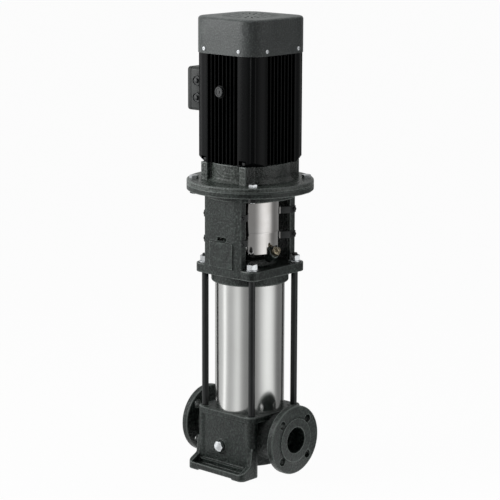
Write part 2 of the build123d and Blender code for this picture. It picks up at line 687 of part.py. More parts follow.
def coupling_half(side):
    """Half shell that clamps both shafts; side is -1 for the front half, +1 for the rear."""
    radius = COUPLING_DIAMETER / 2
    bevel = COUPLING_DIAMETER / 20
    shape = spun((0, coupling_bottom), (radius - bevel, coupling_bottom), (radius, coupling_bottom + bevel),
                 (radius, coupling_top - bevel), (radius - bevel, coupling_top), (0, coupling_top))
    shape -= post(pump_shaft_radius + SEAT_GAP, coupling_bottom, shaft_joint)
    shape -= post(motor_shaft_radius + SEAT_GAP, shaft_joint, coupling_top)
    shape -= post(motor_shaft_radius + SEAT_GAP, pump_shaft_top, shaft_joint)
    shape -= pin_bar(COUPLING_PIN / 2 + SEAT_GAP, 2 * (pump_shaft_radius + COUPLING_PIN) + SEAT_GAP)
    for x, level in coupling_screw_places():
        place = Pos(x, 0, level) * Rot(90, 0, 0)
        shape -= place * Cylinder(COUPLING_SCREW / 2 + SEAT_GAP, COUPLING_DIAMETER)
        seat = coupling_seat()
        shape -= Pos(x, -seat - radius / 2, level) * Rot(90, 0, 0) * Cylinder(COUPLING_SCREW * 0.9, radius)
    near, far = sorted((side * COUPLING_SPLIT / 2, side * (radius + 1)))
    return shape & block(-radius, radius, near, far, coupling_bottom, coupling_top)


def coupling_seat():
    """Distance of the screw heads' seats from the split plane."""
    return COUPLING_DIAMETER / 2 * 0.42


def coupling_screws():
    """Socket screws that clamp the two halves."""
    head = COUPLING_SCREW * 0.75
    seat = coupling_seat()
    screw = post(head, seat + SEAT_GAP, seat + COUPLING_SCREW)
    screw += post(COUPLING_SCREW / 2, -seat, seat + SEAT_GAP)
    return group([Pos(x, 0, level) * Rot(90, 0, 0) * screw for x, level in coupling_screw_places()])


def coupling_pin():
    """Pin that carries the thrust of the pump shaft."""
    return pin_bar(COUPLING_PIN / 2, 2 * (pump_shaft_radius + COUPLING_PIN))


# ---------------------------------------------------------------- pump head and stool
def head_profile():
    """Head body: sleeve ring, plate core, dome and seal housing as one revolved wall."""
    spigot = sleeve_bore - SEAT_GAP
    inner = spigot - SPIGOT_WALL
    slope = DOME_RADIUS - DOME_SLOPE
    roof = dome_top - DOME_WALL
    seal = SEAL_HOUSING / 2
    lip = sleeve_top - SPIGOT_HEIGHT
    return spun((inner, lip), (spigot, lip), (spigot, sleeve_top), (sleeve_radius + SEAT_GAP, sleeve_top),
                (sleeve_radius + SEAT_GAP, head_bottom), (HEAD_RADIUS - 2, head_bottom),
                (HEAD_RADIUS, head_bottom + 2), (HEAD_RADIUS, plate_top - STOOL_PLATE / 2),
                (DOME_RADIUS, plate_top - STOOL_PLATE / 2), (DOME_RADIUS, plate_top), (slope, dome_top),
                (seal, dome_top), (seal, seal_top), (seal_radius + SEAT_GAP, seal_top),
                (seal_radius + SEAT_GAP, roof), (slope - DOME_WALL, roof),
                (inner, plate_top - STOOL_PLATE))


def stool_web():
    """Web on the -Y side with its name pad and slot."""
    outline = [(-WEB_EDGE_X, -WEB_EDGE_Y), (-WEB_FLAT, -WEB_FACE), (WEB_FLAT, -WEB_FACE),
               (WEB_EDGE_X, -WEB_EDGE_Y), (WEB_EDGE_X, -web_inner), (-WEB_EDGE_X, -web_inner)]
    top = motor_face - STOOL_FLANGE_THICKNESS
    web = plan_prism(outline, plate_bottom, top)
    half = PAD_WIDTH / 2
    web += block(-half, half, -WEB_FACE - PAD_RISE, -web_inner, plate_top, plate_top + PAD_HEIGHT)
    for rib in (-WEB_EDGE_X, WEB_EDGE_X - WEB_THICKNESS):
        web += block(rib, rib + WEB_THICKNESS, -WEB_EDGE_Y, -web_inner + WEB_THICKNESS, plate_bottom, top)
    level = plate_top + SLOT_LEVEL
    web -= block(-SLOT_WIDTH / 2, SLOT_WIDTH / 2, -WEB_FACE - 1, -web_inner + 1,
                 level - SLOT_HEIGHT / 2, level + SLOT_HEIGHT / 2)
    return web


def vent_place(shape):
    """Moves a part built along +Z onto the end of the vent boss, pointing outwards."""
    boss_end = Pos(VENT_REACH, 0, plate_top + VENT_LEVEL)
    return Rot(0, 0, VENT_TURN) * boss_end * Rot(0, 90 - VENT_TILT, 0) * shape


def motor_stool():
    """Pump head and motor stool as one casting."""
    shape = slab(PLATE_HALF, PLATE_HALF, PLATE_CORNER, plate_bottom, plate_top)
    shape -= post(DOME_RADIUS, plate_bottom, plate_top)
    shape += head_profile()
    ring_bottom = motor_face - STOOL_FLANGE_THICKNESS - STOOL_RING_HEIGHT
    top_flange = motor_face - STOOL_FLANGE_THICKNESS
    ring = tube(stool_ring_radius, STOOL_OPENING, ring_bottom, top_flange)
    for turn in (0, 180):
        shape += Rot(0, 0, turn) * stool_web()
    shape += ring
    shape += tube(MOTOR_FLANGE / 2, STOOL_OPENING, top_flange, motor_face)
    shape -= post(register_radius + SEAT_GAP, motor_face - REGISTER_DEPTH - RUN_GAP, motor_face)
    shape += vent_place(post(VENT_BOSS / 2, -VENT_BOSS_LENGTH, 0)) - post(
        DOME_RADIUS - DOME_SLOPE, plate_bottom, dome_top + VENT_BOSS) - block(
        0, PLATE_HALF, -PLATE_HALF, PLATE_HALF, head_bottom, plate_top - 1)
    shape -= vent_place(post(VENT_THREAD / 2 + SEAT_GAP, -VENT_DEPTH - 2, 1))
    shape -= vent_place(post(SPINDLE, -VENT_BOSS_LENGTH - DOME_WALL, 0))
    shape -= o_ring_groove(sleeve_top - SPIGOT_HEIGHT / 2)
    for x, y in corners(stay, stay):
        shape -= post(STAY_HOLE / 2, plate_bottom, plate_top, x, y)
    bolt_hole = post(MOTOR_BOLT_HOLE / 2, top_flange, motor_face, motor_pcd / 2)
    for hole in turned(bolt_hole, 4, 45):
        shape -= hole
    tap = post(2.5 + SEAT_GAP, seal_top - SEAL_COVER - 1, seal_top, plate_screw)
    for hole in turned(tap, 3, 90):
        shape -= hole
    for side in (-1, 1):
        for x, y, level in guard_screw_places():
            hole = Cylinder(GUARD_SCREW / 2 + SEAT_GAP, 2 * WEB_THICKNESS + 2)
            shape -= Pos(side * (WEB_EDGE_X - WEB_THICKNESS), y, level) * Rot(0, 90, 0) * hole
    return shape


def vent_plug():
    """Hexagon vent plug bored for its spindle."""
    shape = hexagon(VENT_HEX, 0, VENT_HEAD) + post(VENT_THREAD / 2, -VENT_DEPTH, 0)
    shape += post(SPINDLE_HEAD / 2 + 1, VENT_HEAD, VENT_HEAD + 3)
    shape -= post(SPINDLE / 2 + JOURNAL_GAP, -VENT_DEPTH, VENT_HEAD + 3)
    return vent_place(shape)


def vent_spindle():
    """Spindle with a hexagon end that opens the vent."""
    top = VENT_HEAD + 3
    shape = post(SPINDLE / 2, -VENT_DEPTH, top) + hexagon(SPINDLE_HEAD, top + RUN_GAP, top + SPINDLE_RISE)
    shape += post(SPINDLE / 2, top, top + RUN_GAP)
    return vent_place(shape)


# ---------------------------------------------------------------- stay bolts
def stay_bolts():
    """Long studs that clamp the sleeve between base and head."""
    top = plate_top + STAY_WASHER_HEIGHT + STAY_NUT_HEIGHT + STAY_END
    radius = STAY_DIAMETER / 2
    stud = spun((0, BASE_HEIGHT - STAY_INSERT), (radius, BASE_HEIGHT - STAY_INSERT), (radius, top - 1.5),
                (radius - 1.5, top), (0, top))
    return group([Pos(x, y, 0) * stud for x, y in corners(stay, stay)])


def stay_washers():
    """Washers under the stay nuts."""
    bore = STAY_DIAMETER / 2 + SEAT_GAP
    return group([tube(STAY_WASHER / 2, bore, plate_top, plate_top + STAY_WASHER_HEIGHT, x, y)
                  for x, y in corners(stay, stay)])


def stay_nuts():
    """Hexagon nuts with chamfered corners."""
    bottom = plate_top + STAY_WASHER_HEIGHT
    top = bottom + STAY_NUT_HEIGHT
    flat = STAY_NUT / 2
    crown = spun((0, bottom), (flat * 1.2, bottom), (flat * 1.2, top - flat * 0.12), (flat * 0.95, top),
                 (0, top))
    nut = (hexagon(STAY_NUT, bottom, top) & crown) - post(STAY_DIAMETER / 2 + SEAT_GAP, bottom, top)
    return group([Pos(x, y, 0) * Rot(0, 0, 15) * nut for x, y in corners(stay, stay)])


# ---------------------------------------------------------------- coupling guards
def guard_screw_places():
    """X, Y and level of the guard screws on the +X side."""
    y = web_inner + WEB_THICKNESS / 2
    x = WEB_EDGE_X + GUARD_SHEET
    return [(x, side * y, plate_top + level) for side in (-1, 1) for level in GUARD_TABS]


def sheet_strip(start, end, bottom, top):
    """Upright strip of guard sheet between two plan points."""
    along = Vector(end[0] - start[0], end[1] - start[1], 0)
    across = Vector(-along.Y, along.X, 0).normalized() * GUARD_SHEET
    points = [start, end, (end[0] + across.X, end[1] + across.Y), (start[0] + across.X, start[1] + across.Y)]
    return plan_prism(points, bottom, top)


def coupling_guard(side):
    """Curved guard over one window; side is -1 for the suction side, +1 for the discharge side."""
    bottom = plate_top + GUARD_BOTTOM
    top = plate_top + GUARD_TOP
    inner = GUARD_RADIUS - GUARD_SHEET
    bead = plate_top + GUARD_BEAD
    sheet = tube(GUARD_RADIUS, inner, bottom, top)
    sheet += tube(GUARD_RADIUS + 1, inner, bead - 1.5, bead + 1.5)
    edge = (GUARD_RADIUS * cos(radians(GUARD_ANGLE)), GUARD_RADIUS * sin(radians(GUARD_ANGLE)))
    window = plan_prism([(0, 0), (2 * edge[0], -2 * edge[1]), (2 * edge[0], 2 * edge[1])], bottom, top)
    sheet &= window
    ear_x = WEB_EDGE_X
    ear_y = web_inner - WEB_THICKNESS - GUARD_SHEET
    root = (edge[0] - GUARD_SHEET / 2, edge[1] - GUARD_SHEET)
    for level in GUARD_TABS:
        low = plate_top + level - GUARD_TAB / 2
        high = low + GUARD_TAB
        tab = sheet_strip((ear_x + GUARD_SHEET, ear_y), root, low, high)
        tab += block(ear_x, ear_x + GUARD_SHEET, ear_y - GUARD_SHEET, WEB_EDGE_Y, low, high)
        sheet += tab
        sheet += mirror(tab, Plane.XZ)
    for x, y, level in guard_screw_places():
        sheet -= Pos(x, y, level) * Rot(0, 90, 0) * Cylinder(GUARD_SCREW / 2 + SEAT_GAP, 4 * GUARD_SHEET)
    if side < 0:
        return Rot(0, 0, 180) * sheet
    return sheet - vent_notch(bottom)


def vent_notch(bottom):
    """Opening in the discharge-side guard round the vent boss."""
    half = GUARD_NOTCH / 2
    boss_top = plate_top + VENT_LEVEL + VENT_BOSS / 2
    notch = block(DOME_RADIUS - DOME_SLOPE, 2 * GUARD_RADIUS, -half, half, bottom, boss_top)
    return Rot(0, 0, VENT_TURN) * notch


def guard_screws():
    """Pan-head screws of both guards."""
    screw = Cylinder(GUARD_SCREW, 3, align=(Align.CENTER, Align.CENTER, Align.MIN))
    screw += Cylinder(GUARD_SCREW / 2, WEB_THICKNESS, align=(Align.CENTER, Align.CENTER, Align.MAX))
    screws = [Pos(x, y, level) * Rot(0, 90, 0) * screw for x, y, level in guard_screw_places()]
    return group(screws + [Rot(0, 0, 180) * screw for screw in screws])


# ---------------------------------------------------------------- motor
def motor_bracket():
    """Drive-end bracket with the mounting flange, bearing seat and tie lugs."""
    flange_top = motor_face + MOTOR_FLANGE_THICKNESS
    outer = BRACKET_RADIUS
    inner = outer - BRACKET_WALL
    seat = BEARING_DIAMETER / 2 + SEAT_GAP
    hub = seat + BRACKET_WALL
    bearing_bottom = flange_top + BRACKET_WALL
    bearing_top = bearing_bottom + BEARING_WIDTH
    eye = motor_shaft_radius + RUN_GAP
    rim = MOTOR_FLANGE / 2
    register = motor_face - REGISTER_DEPTH
    shape = spun((eye, register), (register_radius, register), (register_radius, motor_face),
                 (rim, motor_face), (rim, flange_top - 2), (rim - 2, flange_top),
                 (outer + BRACKET_WALL, flange_top), (outer, flange_top + BRACKET_WALL),
                 (outer, housing_bottom), (inner, housing_bottom), (inner, flange_top),
                 (hub, flange_top), (hub, bearing_top), (seat, bearing_top), (seat, bearing_bottom),
                 (eye, bearing_bottom))
    for x, y in corners(TIE_X, TIE_Y):
        side = 1 if y > 0 else -1
        near, far = sorted((y - side * LUG_WIDTH, y + side * LUG_WIDTH / 2))
        lug = block(x - LUG_WIDTH / 2, x + LUG_WIDTH / 2, near, far, flange_top, housing_bottom)
        shape += lug - post(inner, flange_top, housing_bottom)
        shape -= post(TIE_BOLT / 2 + SEAT_GAP, housing_bottom - TIE_DEPTH, housing_bottom, x, y)
    for hole in turned(post(MOTOR_BOLT_HOLE / 2, motor_face, flange_top, motor_pcd / 2), 4, 45):
        shape -= hole
    return shape


def housing_grooves():
    """Grooves between the cooling fins of the -Y face."""
    width = FIN_PITCH - FIN_THICKNESS
    grooves = []
    for step in range(GROOVES):
        x = (step - (GROOVES - 1) / 2) * FIN_PITCH
        groove = block(x - width / 2, x + width / 2, -2 * HOUSING_HALF, 0, housing_bottom, housing_top)
        grooves.append(groove - post(HOUSING_CORE, housing_bottom, housing_top))
    return grooves


def motor_housing():
    """Finned motor housing with smooth corners, tie ears, terminal-box pad and plug boss."""
    shape = slab(HOUSING_HALF, HOUSING_HALF, HOUSING_CORNER, housing_bottom, housing_top)
    for turn in (0, 90, 180, 270):
        for groove in housing_grooves():
            shape -= Rot(0, 0, turn) * groove
    corner = (HOUSING_HALF - HOUSING_CORNER) * sqrt(2) + HOUSING_CORNER
    ridge = block(corner - HOUSING_CHAMFER, corner + RIDGE_RISE, -RIDGE_WIDTH / 2, RIDGE_WIDTH / 2,
                  housing_bottom, cover_bottom - RIDGE_RISE)
    for copy in turned(ridge, 4, 45):
        shape += copy
    skirt = HOUSING_HALF * 1.5
    shape &= spun((0, housing_bottom), (corner - HOUSING_CHAMFER, housing_bottom),
                  (skirt, housing_bottom + skirt - corner + HOUSING_CHAMFER), (skirt, housing_top),
                  (0, housing_top))
    for x, y in corners(TIE_X, TIE_Y):
        ear = housing_bottom + EAR_THICKNESS
        shape -= tie_pocket(x, y, ear) - post(HOUSING_CORE, ear, housing_top)
        shape -= post(TIE_BOLT / 2 + SEAT_GAP, housing_bottom, ear, x, y)
    pad = BOX_NECK / 2
    shape += block(-BOX_SEAT, -HOUSING_CORE * 0.9, -pad, pad, box_middle - pad, box_middle + pad)
    outwards = (Align.CENTER, Align.CENTER, Align.MIN)
    boss = Rot(90, 0, 0) * Cylinder(KNOB_DIAMETER / 2 + 3, HOUSING_HALF, align=outwards)
    shape += Pos(KNOB_X, 0, motor_face + KNOB_LEVEL) * boss
    lead = Rot(0, 90, 0) * Cylinder(BOX_NECK / 3, HOUSING_HALF)
    shape -= Pos(-HOUSING_HALF, 0, box_middle) * lead
    return shape - post(HOUSING_BORE, housing_bottom, housing_top)


def tie_pocket(x, y, bottom):
    """Pocket over a tie ear, open to the outside, with room for the bolt head."""
    side = 1 if y > 0 else -1
    half = TIE_HEX / 2 + 3
    near, far = sorted((y - side * half, y + side * 3 * half))
    return block(x - half, x + half, near, far, bottom, bottom + TIE_HEAD + 4)


def tie_bolts():
    """Hexagon bolts that hold the housing on the bracket's lugs."""
    screw = bolt(TIE_BOLT, TIE_HEX, TIE_HEAD, TIE_DEPTH)
    return group([Pos(x, y, housing_bottom + EAR_THICKNESS) * screw for x, y in corners(TIE_X, TIE_Y)])


def frame_plug():
    """Round plug on the fin side of the housing."""
    plug = Cylinder(KNOB_DIAMETER / 2, KNOB_HEIGHT, align=(Align.CENTER, Align.CENTER, Align.MIN))
    plug = fillet(plug.edges().sort_by(Axis.Z)[-1], KNOB_HEIGHT / 5)
    return Pos(KNOB_X, -HOUSING_HALF, motor_face + KNOB_LEVEL) * Rot(90, 0, 0) * plug


def stator_middle():
    """Level of the middle of the stator."""
    return (housing_bottom + housing_top) / 2


def stator_core():
    """Laminated stator stack."""
    half = STATOR_LENGTH / 2
    return tube(HOUSING_BORE - SEAT_GAP, STATOR_BORE, stator_middle() - half, stator_middle() + half)


def stator_windings():
    """End windings above and below the stator stack."""
    half = STATOR_LENGTH / 2
    outer = HOUSING_BORE - WINDING_HEIGHT / 4
    inner = STATOR_BORE + WINDING_HEIGHT / 8
    bevel = WINDING_HEIGHT / 4
    ring = spun((inner, 0), (outer, 0), (outer, WINDING_HEIGHT - bevel), (outer - bevel, WINDING_HEIGHT),
                (inner + bevel, WINDING_HEIGHT), (inner, WINDING_HEIGHT - bevel))
    upper = Pos(0, 0, stator_middle() + half) * ring
    lower = Pos(0, 0, stator_middle() - half) * Rot(180, 0, 0) * ring
    return group([upper, lower])


def rotor_core():
    """Squirrel-cage rotor with its end rings."""
    half = STATOR_LENGTH / 2
    middle = stator_middle()
    radius = STATOR_BORE - AIR_GAP
    bore = BEARING_BORE / 2 + 4 + SEAT_GAP
    shape = tube(radius, bore, middle - half, middle + half)
    shape += tube(radius - 3, radius - 14, middle - half - 10, middle + half + 10)
    return shape


def bearing_levels():
    """Bottom of the drive-end and fan-end bearings."""
    return {"drive": motor_face + MOTOR_FLANGE_THICKNESS + BRACKET_WALL, "fan": housing_top - BEARING_WIDTH}


def bearing_outer(end):
    """Outer race with its ball groove."""
    bottom = bearing_levels()[end]
    outer = BEARING_DIAMETER / 2
    race = tube(outer, outer - BEARING_RACE, bottom, bottom + BEARING_WIDTH)
    return race - ball_track(bottom)


def bearing_inner(end):
    """Inner race with its ball groove."""
    bottom = bearing_levels()[end]
    inner = BEARING_BORE / 2 + SEAT_GAP
    race = tube(inner + BEARING_RACE, inner, bottom, bottom + BEARING_WIDTH)
    return race - ball_track(bottom)


def ball_track(bottom):
    """Ring-shaped space that the balls run in."""
    pitch = (BEARING_BORE + BEARING_DIAMETER) / 4
    section = Plane.XZ * Pos(pitch, bottom + BEARING_WIDTH / 2) * Circle(BALL / 2 + JOURNAL_GAP)
    return revolve(section, Axis.Z)


def bearing_balls():
    """Balls of both bearings."""
    pitch = (BEARING_BORE + BEARING_DIAMETER) / 4
    balls = []
    for bottom in bearing_levels().values():
        balls += turned(Pos(pitch, 0, bottom + BEARING_WIDTH / 2) * Sphere(BALL / 2), BALLS)
    return group(balls)


def motor_shaft():
    """Stepped motor shaft from the coupling to the fan."""
    seat = BEARING_BORE / 2
    drive = bearing_levels()["drive"]
    fan = bearing_levels()["fan"]
    core = seat + 4
    tip = fan_bottom() + FAN_HEIGHT + 4
    bevel = MOTOR_SHAFT / 20
    radius = motor_shaft_radius
    return spun((0, shaft_joint), (radius - bevel, shaft_joint), (radius, shaft_joint + bevel),
                (radius, drive), (seat, drive), (seat, drive + BEARING_WIDTH),
                (core, drive + BEARING_WIDTH), (core, fan), (seat, fan), (seat, fan + BEARING_WIDTH),
                (seat - 3, fan + BEARING_WIDTH), (seat - 3, tip), (0, tip))


def end_shield():
    """Fan-end shield with the bearing seat and ears for the cover screws."""
    seat = BEARING_DIAMETER / 2 + SEAT_GAP
    hub = seat + BRACKET_WALL
    top = housing_top + SHIELD_THICKNESS
    fan = bearing_levels()["fan"]
    shape = spun((BEARING_BORE / 2 + RUN_GAP, housing_top), (seat, housing_top), (seat, fan), (hub, fan),
                 (hub, housing_top), (HOUSING_CORE, housing_top), (HOUSING_CORE, top - 4), (hub, top),
                 (BEARING_BORE / 2 + RUN_GAP, top))
    reach = cover_half - COVER_WALL - SEAT_GAP
    corner = HOUSING_CORNER + COVER_GAP
    ear = block(COVER_SCREW_X - 7, COVER_SCREW_X + 7, -reach, -HOUSING_CORE * 0.6, housing_top, top)
    ear &= slab(reach, reach, corner, housing_top, top)
    ears = turned(ear, 4) + turned(mirror(ear, Plane.YZ), 4)
    for copy in ears:
        shape += copy - post(HOUSING_CORE - 4, housing_top, top)
    for place in cover_screw_places():
        shape -= place * Cylinder(COVER_SCREW / 2 + SEAT_GAP, 2 * COVER_SCREW_LENGTH + 2)
    return shape


def cover_screw_places():
    """Places of the eight cover screws on the cover's faces, pointing outwards."""
    level = cover_bottom + COVER_SCREW_LEVEL
    return [Rot(0, 0, turn) * Pos(x, -cover_half, level) * Rot(90, 0, 0)
            for turn in (0, 90, 180, 270) for x in (-COVER_SCREW_X, COVER_SCREW_X)]


def cover_screws():
    """Pan-head screws of the fan cover."""
    screw = post(COVER_SCREW, 0, COVER_SCREW_HEAD) + post(COVER_SCREW / 2, -COVER_SCREW_LENGTH, 0)
    return group([place * screw for place in cover_screw_places()])


def fan_bottom():
    """Level of the lower face of the fan."""
    return housing_top + SHIELD_THICKNESS + 4


def motor_fan():
    """Radial fan with straight blades on a disc and hub."""
    bottom = fan_bottom()
    bore = BEARING_BORE / 2 - 3 + SEAT_GAP
    shape = spun((bore, bottom), (FAN_HUB, bottom), (FAN_RADIUS, bottom + 10), (FAN_RADIUS, bottom + 13),
                 (FAN_HUB, bottom + 6), (FAN_HUB, bottom + FAN_HEIGHT), (bore, bottom + FAN_HEIGHT))
    tip = bottom + FAN_HEIGHT - 1
    side = [(FAN_HUB - 1, bottom + 3), (FAN_RADIUS - 1, bottom + 11), (FAN_RADIUS - 1, tip),
            (FAN_HUB - 1, tip)]
    outline = make_face(Polyline(*[(x, -FAN_BLADE / 2, z) for x, z in side], close=True))
    for copy in turned(extrude(outline, FAN_BLADE, dir=(0, 1, 0)), FAN_BLADES):
        shape += copy
    return shape


def fan_clip():
    """Snap ring that holds the fan on the shaft."""
    bottom = fan_bottom() + FAN_HEIGHT
    return tube(FAN_HUB * 0.9, BEARING_BORE / 2 - 3 + SEAT_GAP, bottom, bottom + 1.5)


def fan_cover():
    """Square fan cover with rounded edges and a round air grille in its top."""
    inner = cover_half - COVER_WALL
    corner = HOUSING_CORNER + COVER_GAP + COVER_WALL
    shape = slab(cover_half, cover_half, corner, cover_bottom, cover_top)
    shape = fillet(shape.faces().sort_by(Axis.Z)[-1].edges(), COVER_ROUND)
    hollow = slab(inner, inner, corner - COVER_WALL, cover_bottom, cover_top - COVER_WALL)
    hollow = fillet(hollow.faces().sort_by(Axis.Z)[-1].edges(), COVER_ROUND - COVER_WALL)
    shape -= hollow
    for (near, far), count in ((GRILLE_INNER, INNER_SLOTS), (GRILLE_OUTER, OUTER_SLOTS)):
        slot = Pos((near + far) / 2, 0, cover_top) * Box(far - near, GRILLE_SLOT, 4 * COVER_WALL)
        for copy in turned(slot, count):
            shape -= copy
    for place in cover_screw_places():
        shape -= place * Cylinder(COVER_SCREW / 2 + SEAT_GAP, 4 * COVER_WALL)
    return shape


def flange_bolts():
    """Bolts that hold the motor on the stool."""
    grip = MOTOR_FLANGE_THICKNESS + STOOL_FLANGE_THICKNESS + MOTOR_BOLT
    screw = Pos(motor_pcd / 2, 0, motor_face + MOTOR_FLANGE_THICKNESS) * bolt(
        MOTOR_BOLT, MOTOR_BOLT_HEX, MOTOR_BOLT * 0.65, grip)
    return group(turned(screw, 4, 45))


def flange_nuts():
    """Nuts under the stool flange."""
    top = motor_face - STOOL_FLANGE_THICKNESS
    height = MOTOR_BOLT * 0.85
    nut = hexagon(MOTOR_BOLT_HEX, top - height, top) - post(MOTOR_BOLT / 2 + SEAT_GAP, top - height, top)
    return group(turned(Pos(motor_pcd / 2, 0, 0) * nut, 4, 45))


# ---------------------------------------------------------------- terminal box
def box_slab(inset, near, far):
    """Rounded block of the terminal box between two distances from the shaft, on the -X side."""
    half_y = BOX_WIDTH / 2 - inset
    half_z = BOX_HEIGHT / 2 - inset
    outline = Plane.YZ.offset(-far) * RectangleRounded(2 * half_y, 2 * half_z, BOX_CORNER - inset / 2)
    return Pos(0, 0, box_middle) * extrude(outline, far - near)


def terminal_box():
    """Open box on the housing's pad, with two cable entries on its -Y side."""
    lid = BOX_REACH - BOX_LID
    shape = box_slab(0, BOX_SEAT, lid) - box_slab(BOX_WALL, BOX_SEAT + BOX_WALL, lid)
    lead = Rot(0, 90, 0) * Cylinder(BOX_NECK / 3, 4 * BOX_WALL)
    shape -= Pos(-BOX_SEAT, 0, box_middle) * lead
    for place in entry_places():
        shape -= place * Cylinder(ENTRY_DIAMETER / 2 - ENTRY_STEP + SEAT_GAP, 4 * BOX_WALL)
    for place in lid_screw_places():
        shape += place * post(LID_SCREW, BOX_SEAT + BOX_WALL / 2 - BOX_REACH, -BOX_LID)
        shape -= place * Pos(0, 0, -BOX_LID) * Cylinder(LID_SCREW / 2 + SEAT_GAP, 4 * LID_SCREW_GRIP)
    return shape


def entry_places():
    """Places of the cable entries, pointing out of the -Y side."""
    x = -(BOX_SEAT + BOX_REACH - BOX_LID) / 2
    return [Pos(x, -BOX_WIDTH / 2, box_middle + step * ENTRY_SPACING / 2) * Rot(90, 0, 0) for step in (-1, 1)]


def lid_screw_places():
    """Places of the four lid screws, pointing out of the lid."""
    inset = BOX_CORNER + 1
    return [Pos(-BOX_REACH, y, box_middle + z) * Rot(0, -90, 0)
            for y, z in corners(BOX_WIDTH / 2 - inset, BOX_HEIGHT / 2 - inset)]


def entry_plugs():
    """Blind plugs with hexagon collars in the cable entries."""
    radius = ENTRY_DIAMETER / 2
    plug = post(radius, 0, ENTRY_COLLAR) + post(radius - ENTRY_STEP, -BOX_WALL - ENTRY_STEP, ENTRY_RISE)
    return group([place * plug for place in entry_places()])


def terminal_lid():
    """Lid with a rounded rim and a shallow raised field."""
    back = BOX_REACH - BOX_LID + LID_GASKET
    shape = box_slab(0, back, BOX_REACH)
    shape = fillet(shape.faces().sort_by(Axis.X)[0].edges(), 3)
    shape -= box_slab(BOX_WALL, back, BOX_REACH - BOX_WALL)
    for place in lid_screw_places():
        shape += place * post(LID_SCREW, LID_GASKET - BOX_LID, -BOX_WALL / 2)
        shape -= place * Cylinder(LID_SCREW / 2 + SEAT_GAP, 3 * BOX_LID)
        shape -= place * Cylinder(LID_SCREW + 0.5, 2 * LID_SCREW_SINK)
    return shape


def lid_gasket():
    """Flat gasket between box and lid."""
    lid = BOX_REACH - BOX_LID
    shape = box_slab(0, lid, lid + LID_GASKET) - box_slab(BOX_WALL, lid, lid + LID_GASKET)
    for place in lid_screw_places():
        shape += place * post(LID_SCREW, -BOX_LID, LID_GASKET - BOX_LID)
        shape -= place * Cylinder(LID_SCREW / 2 + SEAT_GAP, 3 * BOX_LID)
    return shape


def lid_screws():
    """Screws of the terminal-box lid."""
    screw = post(LID_SCREW, -LID_SCREW_SINK, LID_SCREW_HEAD - LID_SCREW_SINK)
    screw += post(LID_SCREW / 2, -BOX_LID - LID_SCREW_GRIP, 0)
    return group([place * screw for place in lid_screw_places()])


def terminal_board():
    """Insulating board in the box, with holes for its studs."""
    back = BOX_SEAT + BOX_WALL
    shape = Pos(0, 0, box_middle) * block(-back - BOARD_THICKNESS, -back, -BOARD_WIDTH / 2, BOARD_WIDTH / 2,
                                           -BOARD_HEIGHT / 2, BOARD_HEIGHT / 2)
    for place in stud_places():
        shape -= place * Cylinder(STUD_DIAMETER / 2 + SEAT_GAP, 4 * BOARD_THICKNESS)
    return shape


def stud_places():
    """Places of the terminal studs on the board's face."""
    face = BOX_SEAT + BOX_WALL + BOARD_THICKNESS
    middle = (STUDS // 2 - 1) / 2
    return [Pos(-face, (column - middle) * STUD_PITCH, box_middle + row * STUD_ROWS / 2) * Rot(0, -90, 0)
            for column in range(STUDS // 2) for row in (-1, 1)]


def terminal_studs():
    """Brass studs with their nuts."""
    stud = post(STUD_DIAMETER / 2, -BOARD_THICKNESS, STUD_LENGTH) + hexagon(STUD_NUT, 0, STUD_NUT_HEIGHT)
    return group([place * stud for place in stud_places()])


# ---------------------------------------------------------------- all nodes
NODES = {
    "pump_base": pump_base,
    "drain_plug": drain_plug,
    "drain_washer": drain_washer,
    "sleeve_o_rings": sleeve_o_rings,
    "outer_sleeve": outer_sleeve,
    "inlet_chamber": inlet_chamber,
    "neck_rings": neck_rings,
    "stage_bushes": stage_bushes,
    "discharge_cover": discharge_cover,
    "stack_straps": stack_straps,
    "shaft_spacers": shaft_spacers,
    "shaft_nut": shaft_nut,
    "pump_shaft": pump_shaft,
    "seal_seat": seal_seat,
    "seal_ring": seal_ring,
    "seal_driver": seal_driver,
    "seal_cover": seal_cover,
    "seal_screws": seal_screws,
    "coupling_half_front": lambda: coupling_half(-1),
    "coupling_half_rear": lambda: coupling_half(1),
    "coupling_screws": coupling_screws,
    "coupling_pin": coupling_pin,
    "motor_stool": motor_stool,
    "vent_plug": vent_plug,
    "vent_spindle": vent_spindle,
    "stay_bolts": stay_bolts,
    "stay_washers": stay_washers,
    "stay_nuts": stay_nuts,
    "guard_suction_side": lambda: coupling_guard(-1),
    "guard_discharge_side": lambda: coupling_guard(1),
    "guard_screws": guard_screws,
    "motor_bracket": motor_bracket,
    "motor_housing": motor_housing,
    "tie_bolts": tie_bolts,
    "frame_plug": frame_plug,
    "stator_core": stator_core,
    "stator_windings": stator_windings,
    "rotor_core": rotor_core,
    "drive_bearing_outer": lambda: bearing_outer("drive"),
    "drive_bearing_inner": lambda: bearing_inner("drive"),
    "fan_bearing_outer": lambda: bearing_outer("fan"),
    "fan_bearing_inner": lambda: bearing_inner("fan"),
    "bearing_balls": bearing_balls,
    "motor_shaft": motor_shaft,
    "end_shield": end_shield,
    "motor_fan": motor_fan,
    "fan_clip": fan_clip,
    "fan_cover": fan_cover,
    "cover_screws": cover_screws,
    "flange_bolts": flange_bolts,
    "flange_nuts": flange_nuts,
    "terminal_box": terminal_box,
    "terminal_lid": terminal_lid,
    "lid_gasket": lid_gasket,
    "lid_screws": lid_screws,
    "entry_plugs": entry_plugs,
    "terminal_board": terminal_board,
    "terminal_studs": terminal_studs,
}


def main():
    """Build every node and write it to parts/."""
    os.makedirs("parts", exist_ok=True)
    stages = range(STAGES)
    nodes = dict(NODES)
    nodes["stage_chambers"] = lambda: group([stage_chamber(stage) for stage in stages])
    nodes["impellers"] = lambda: group([impeller(stage) for stage in stages])
    for name, make in nodes.items():
        export_step(make(), f"parts/{name}.step")


main()
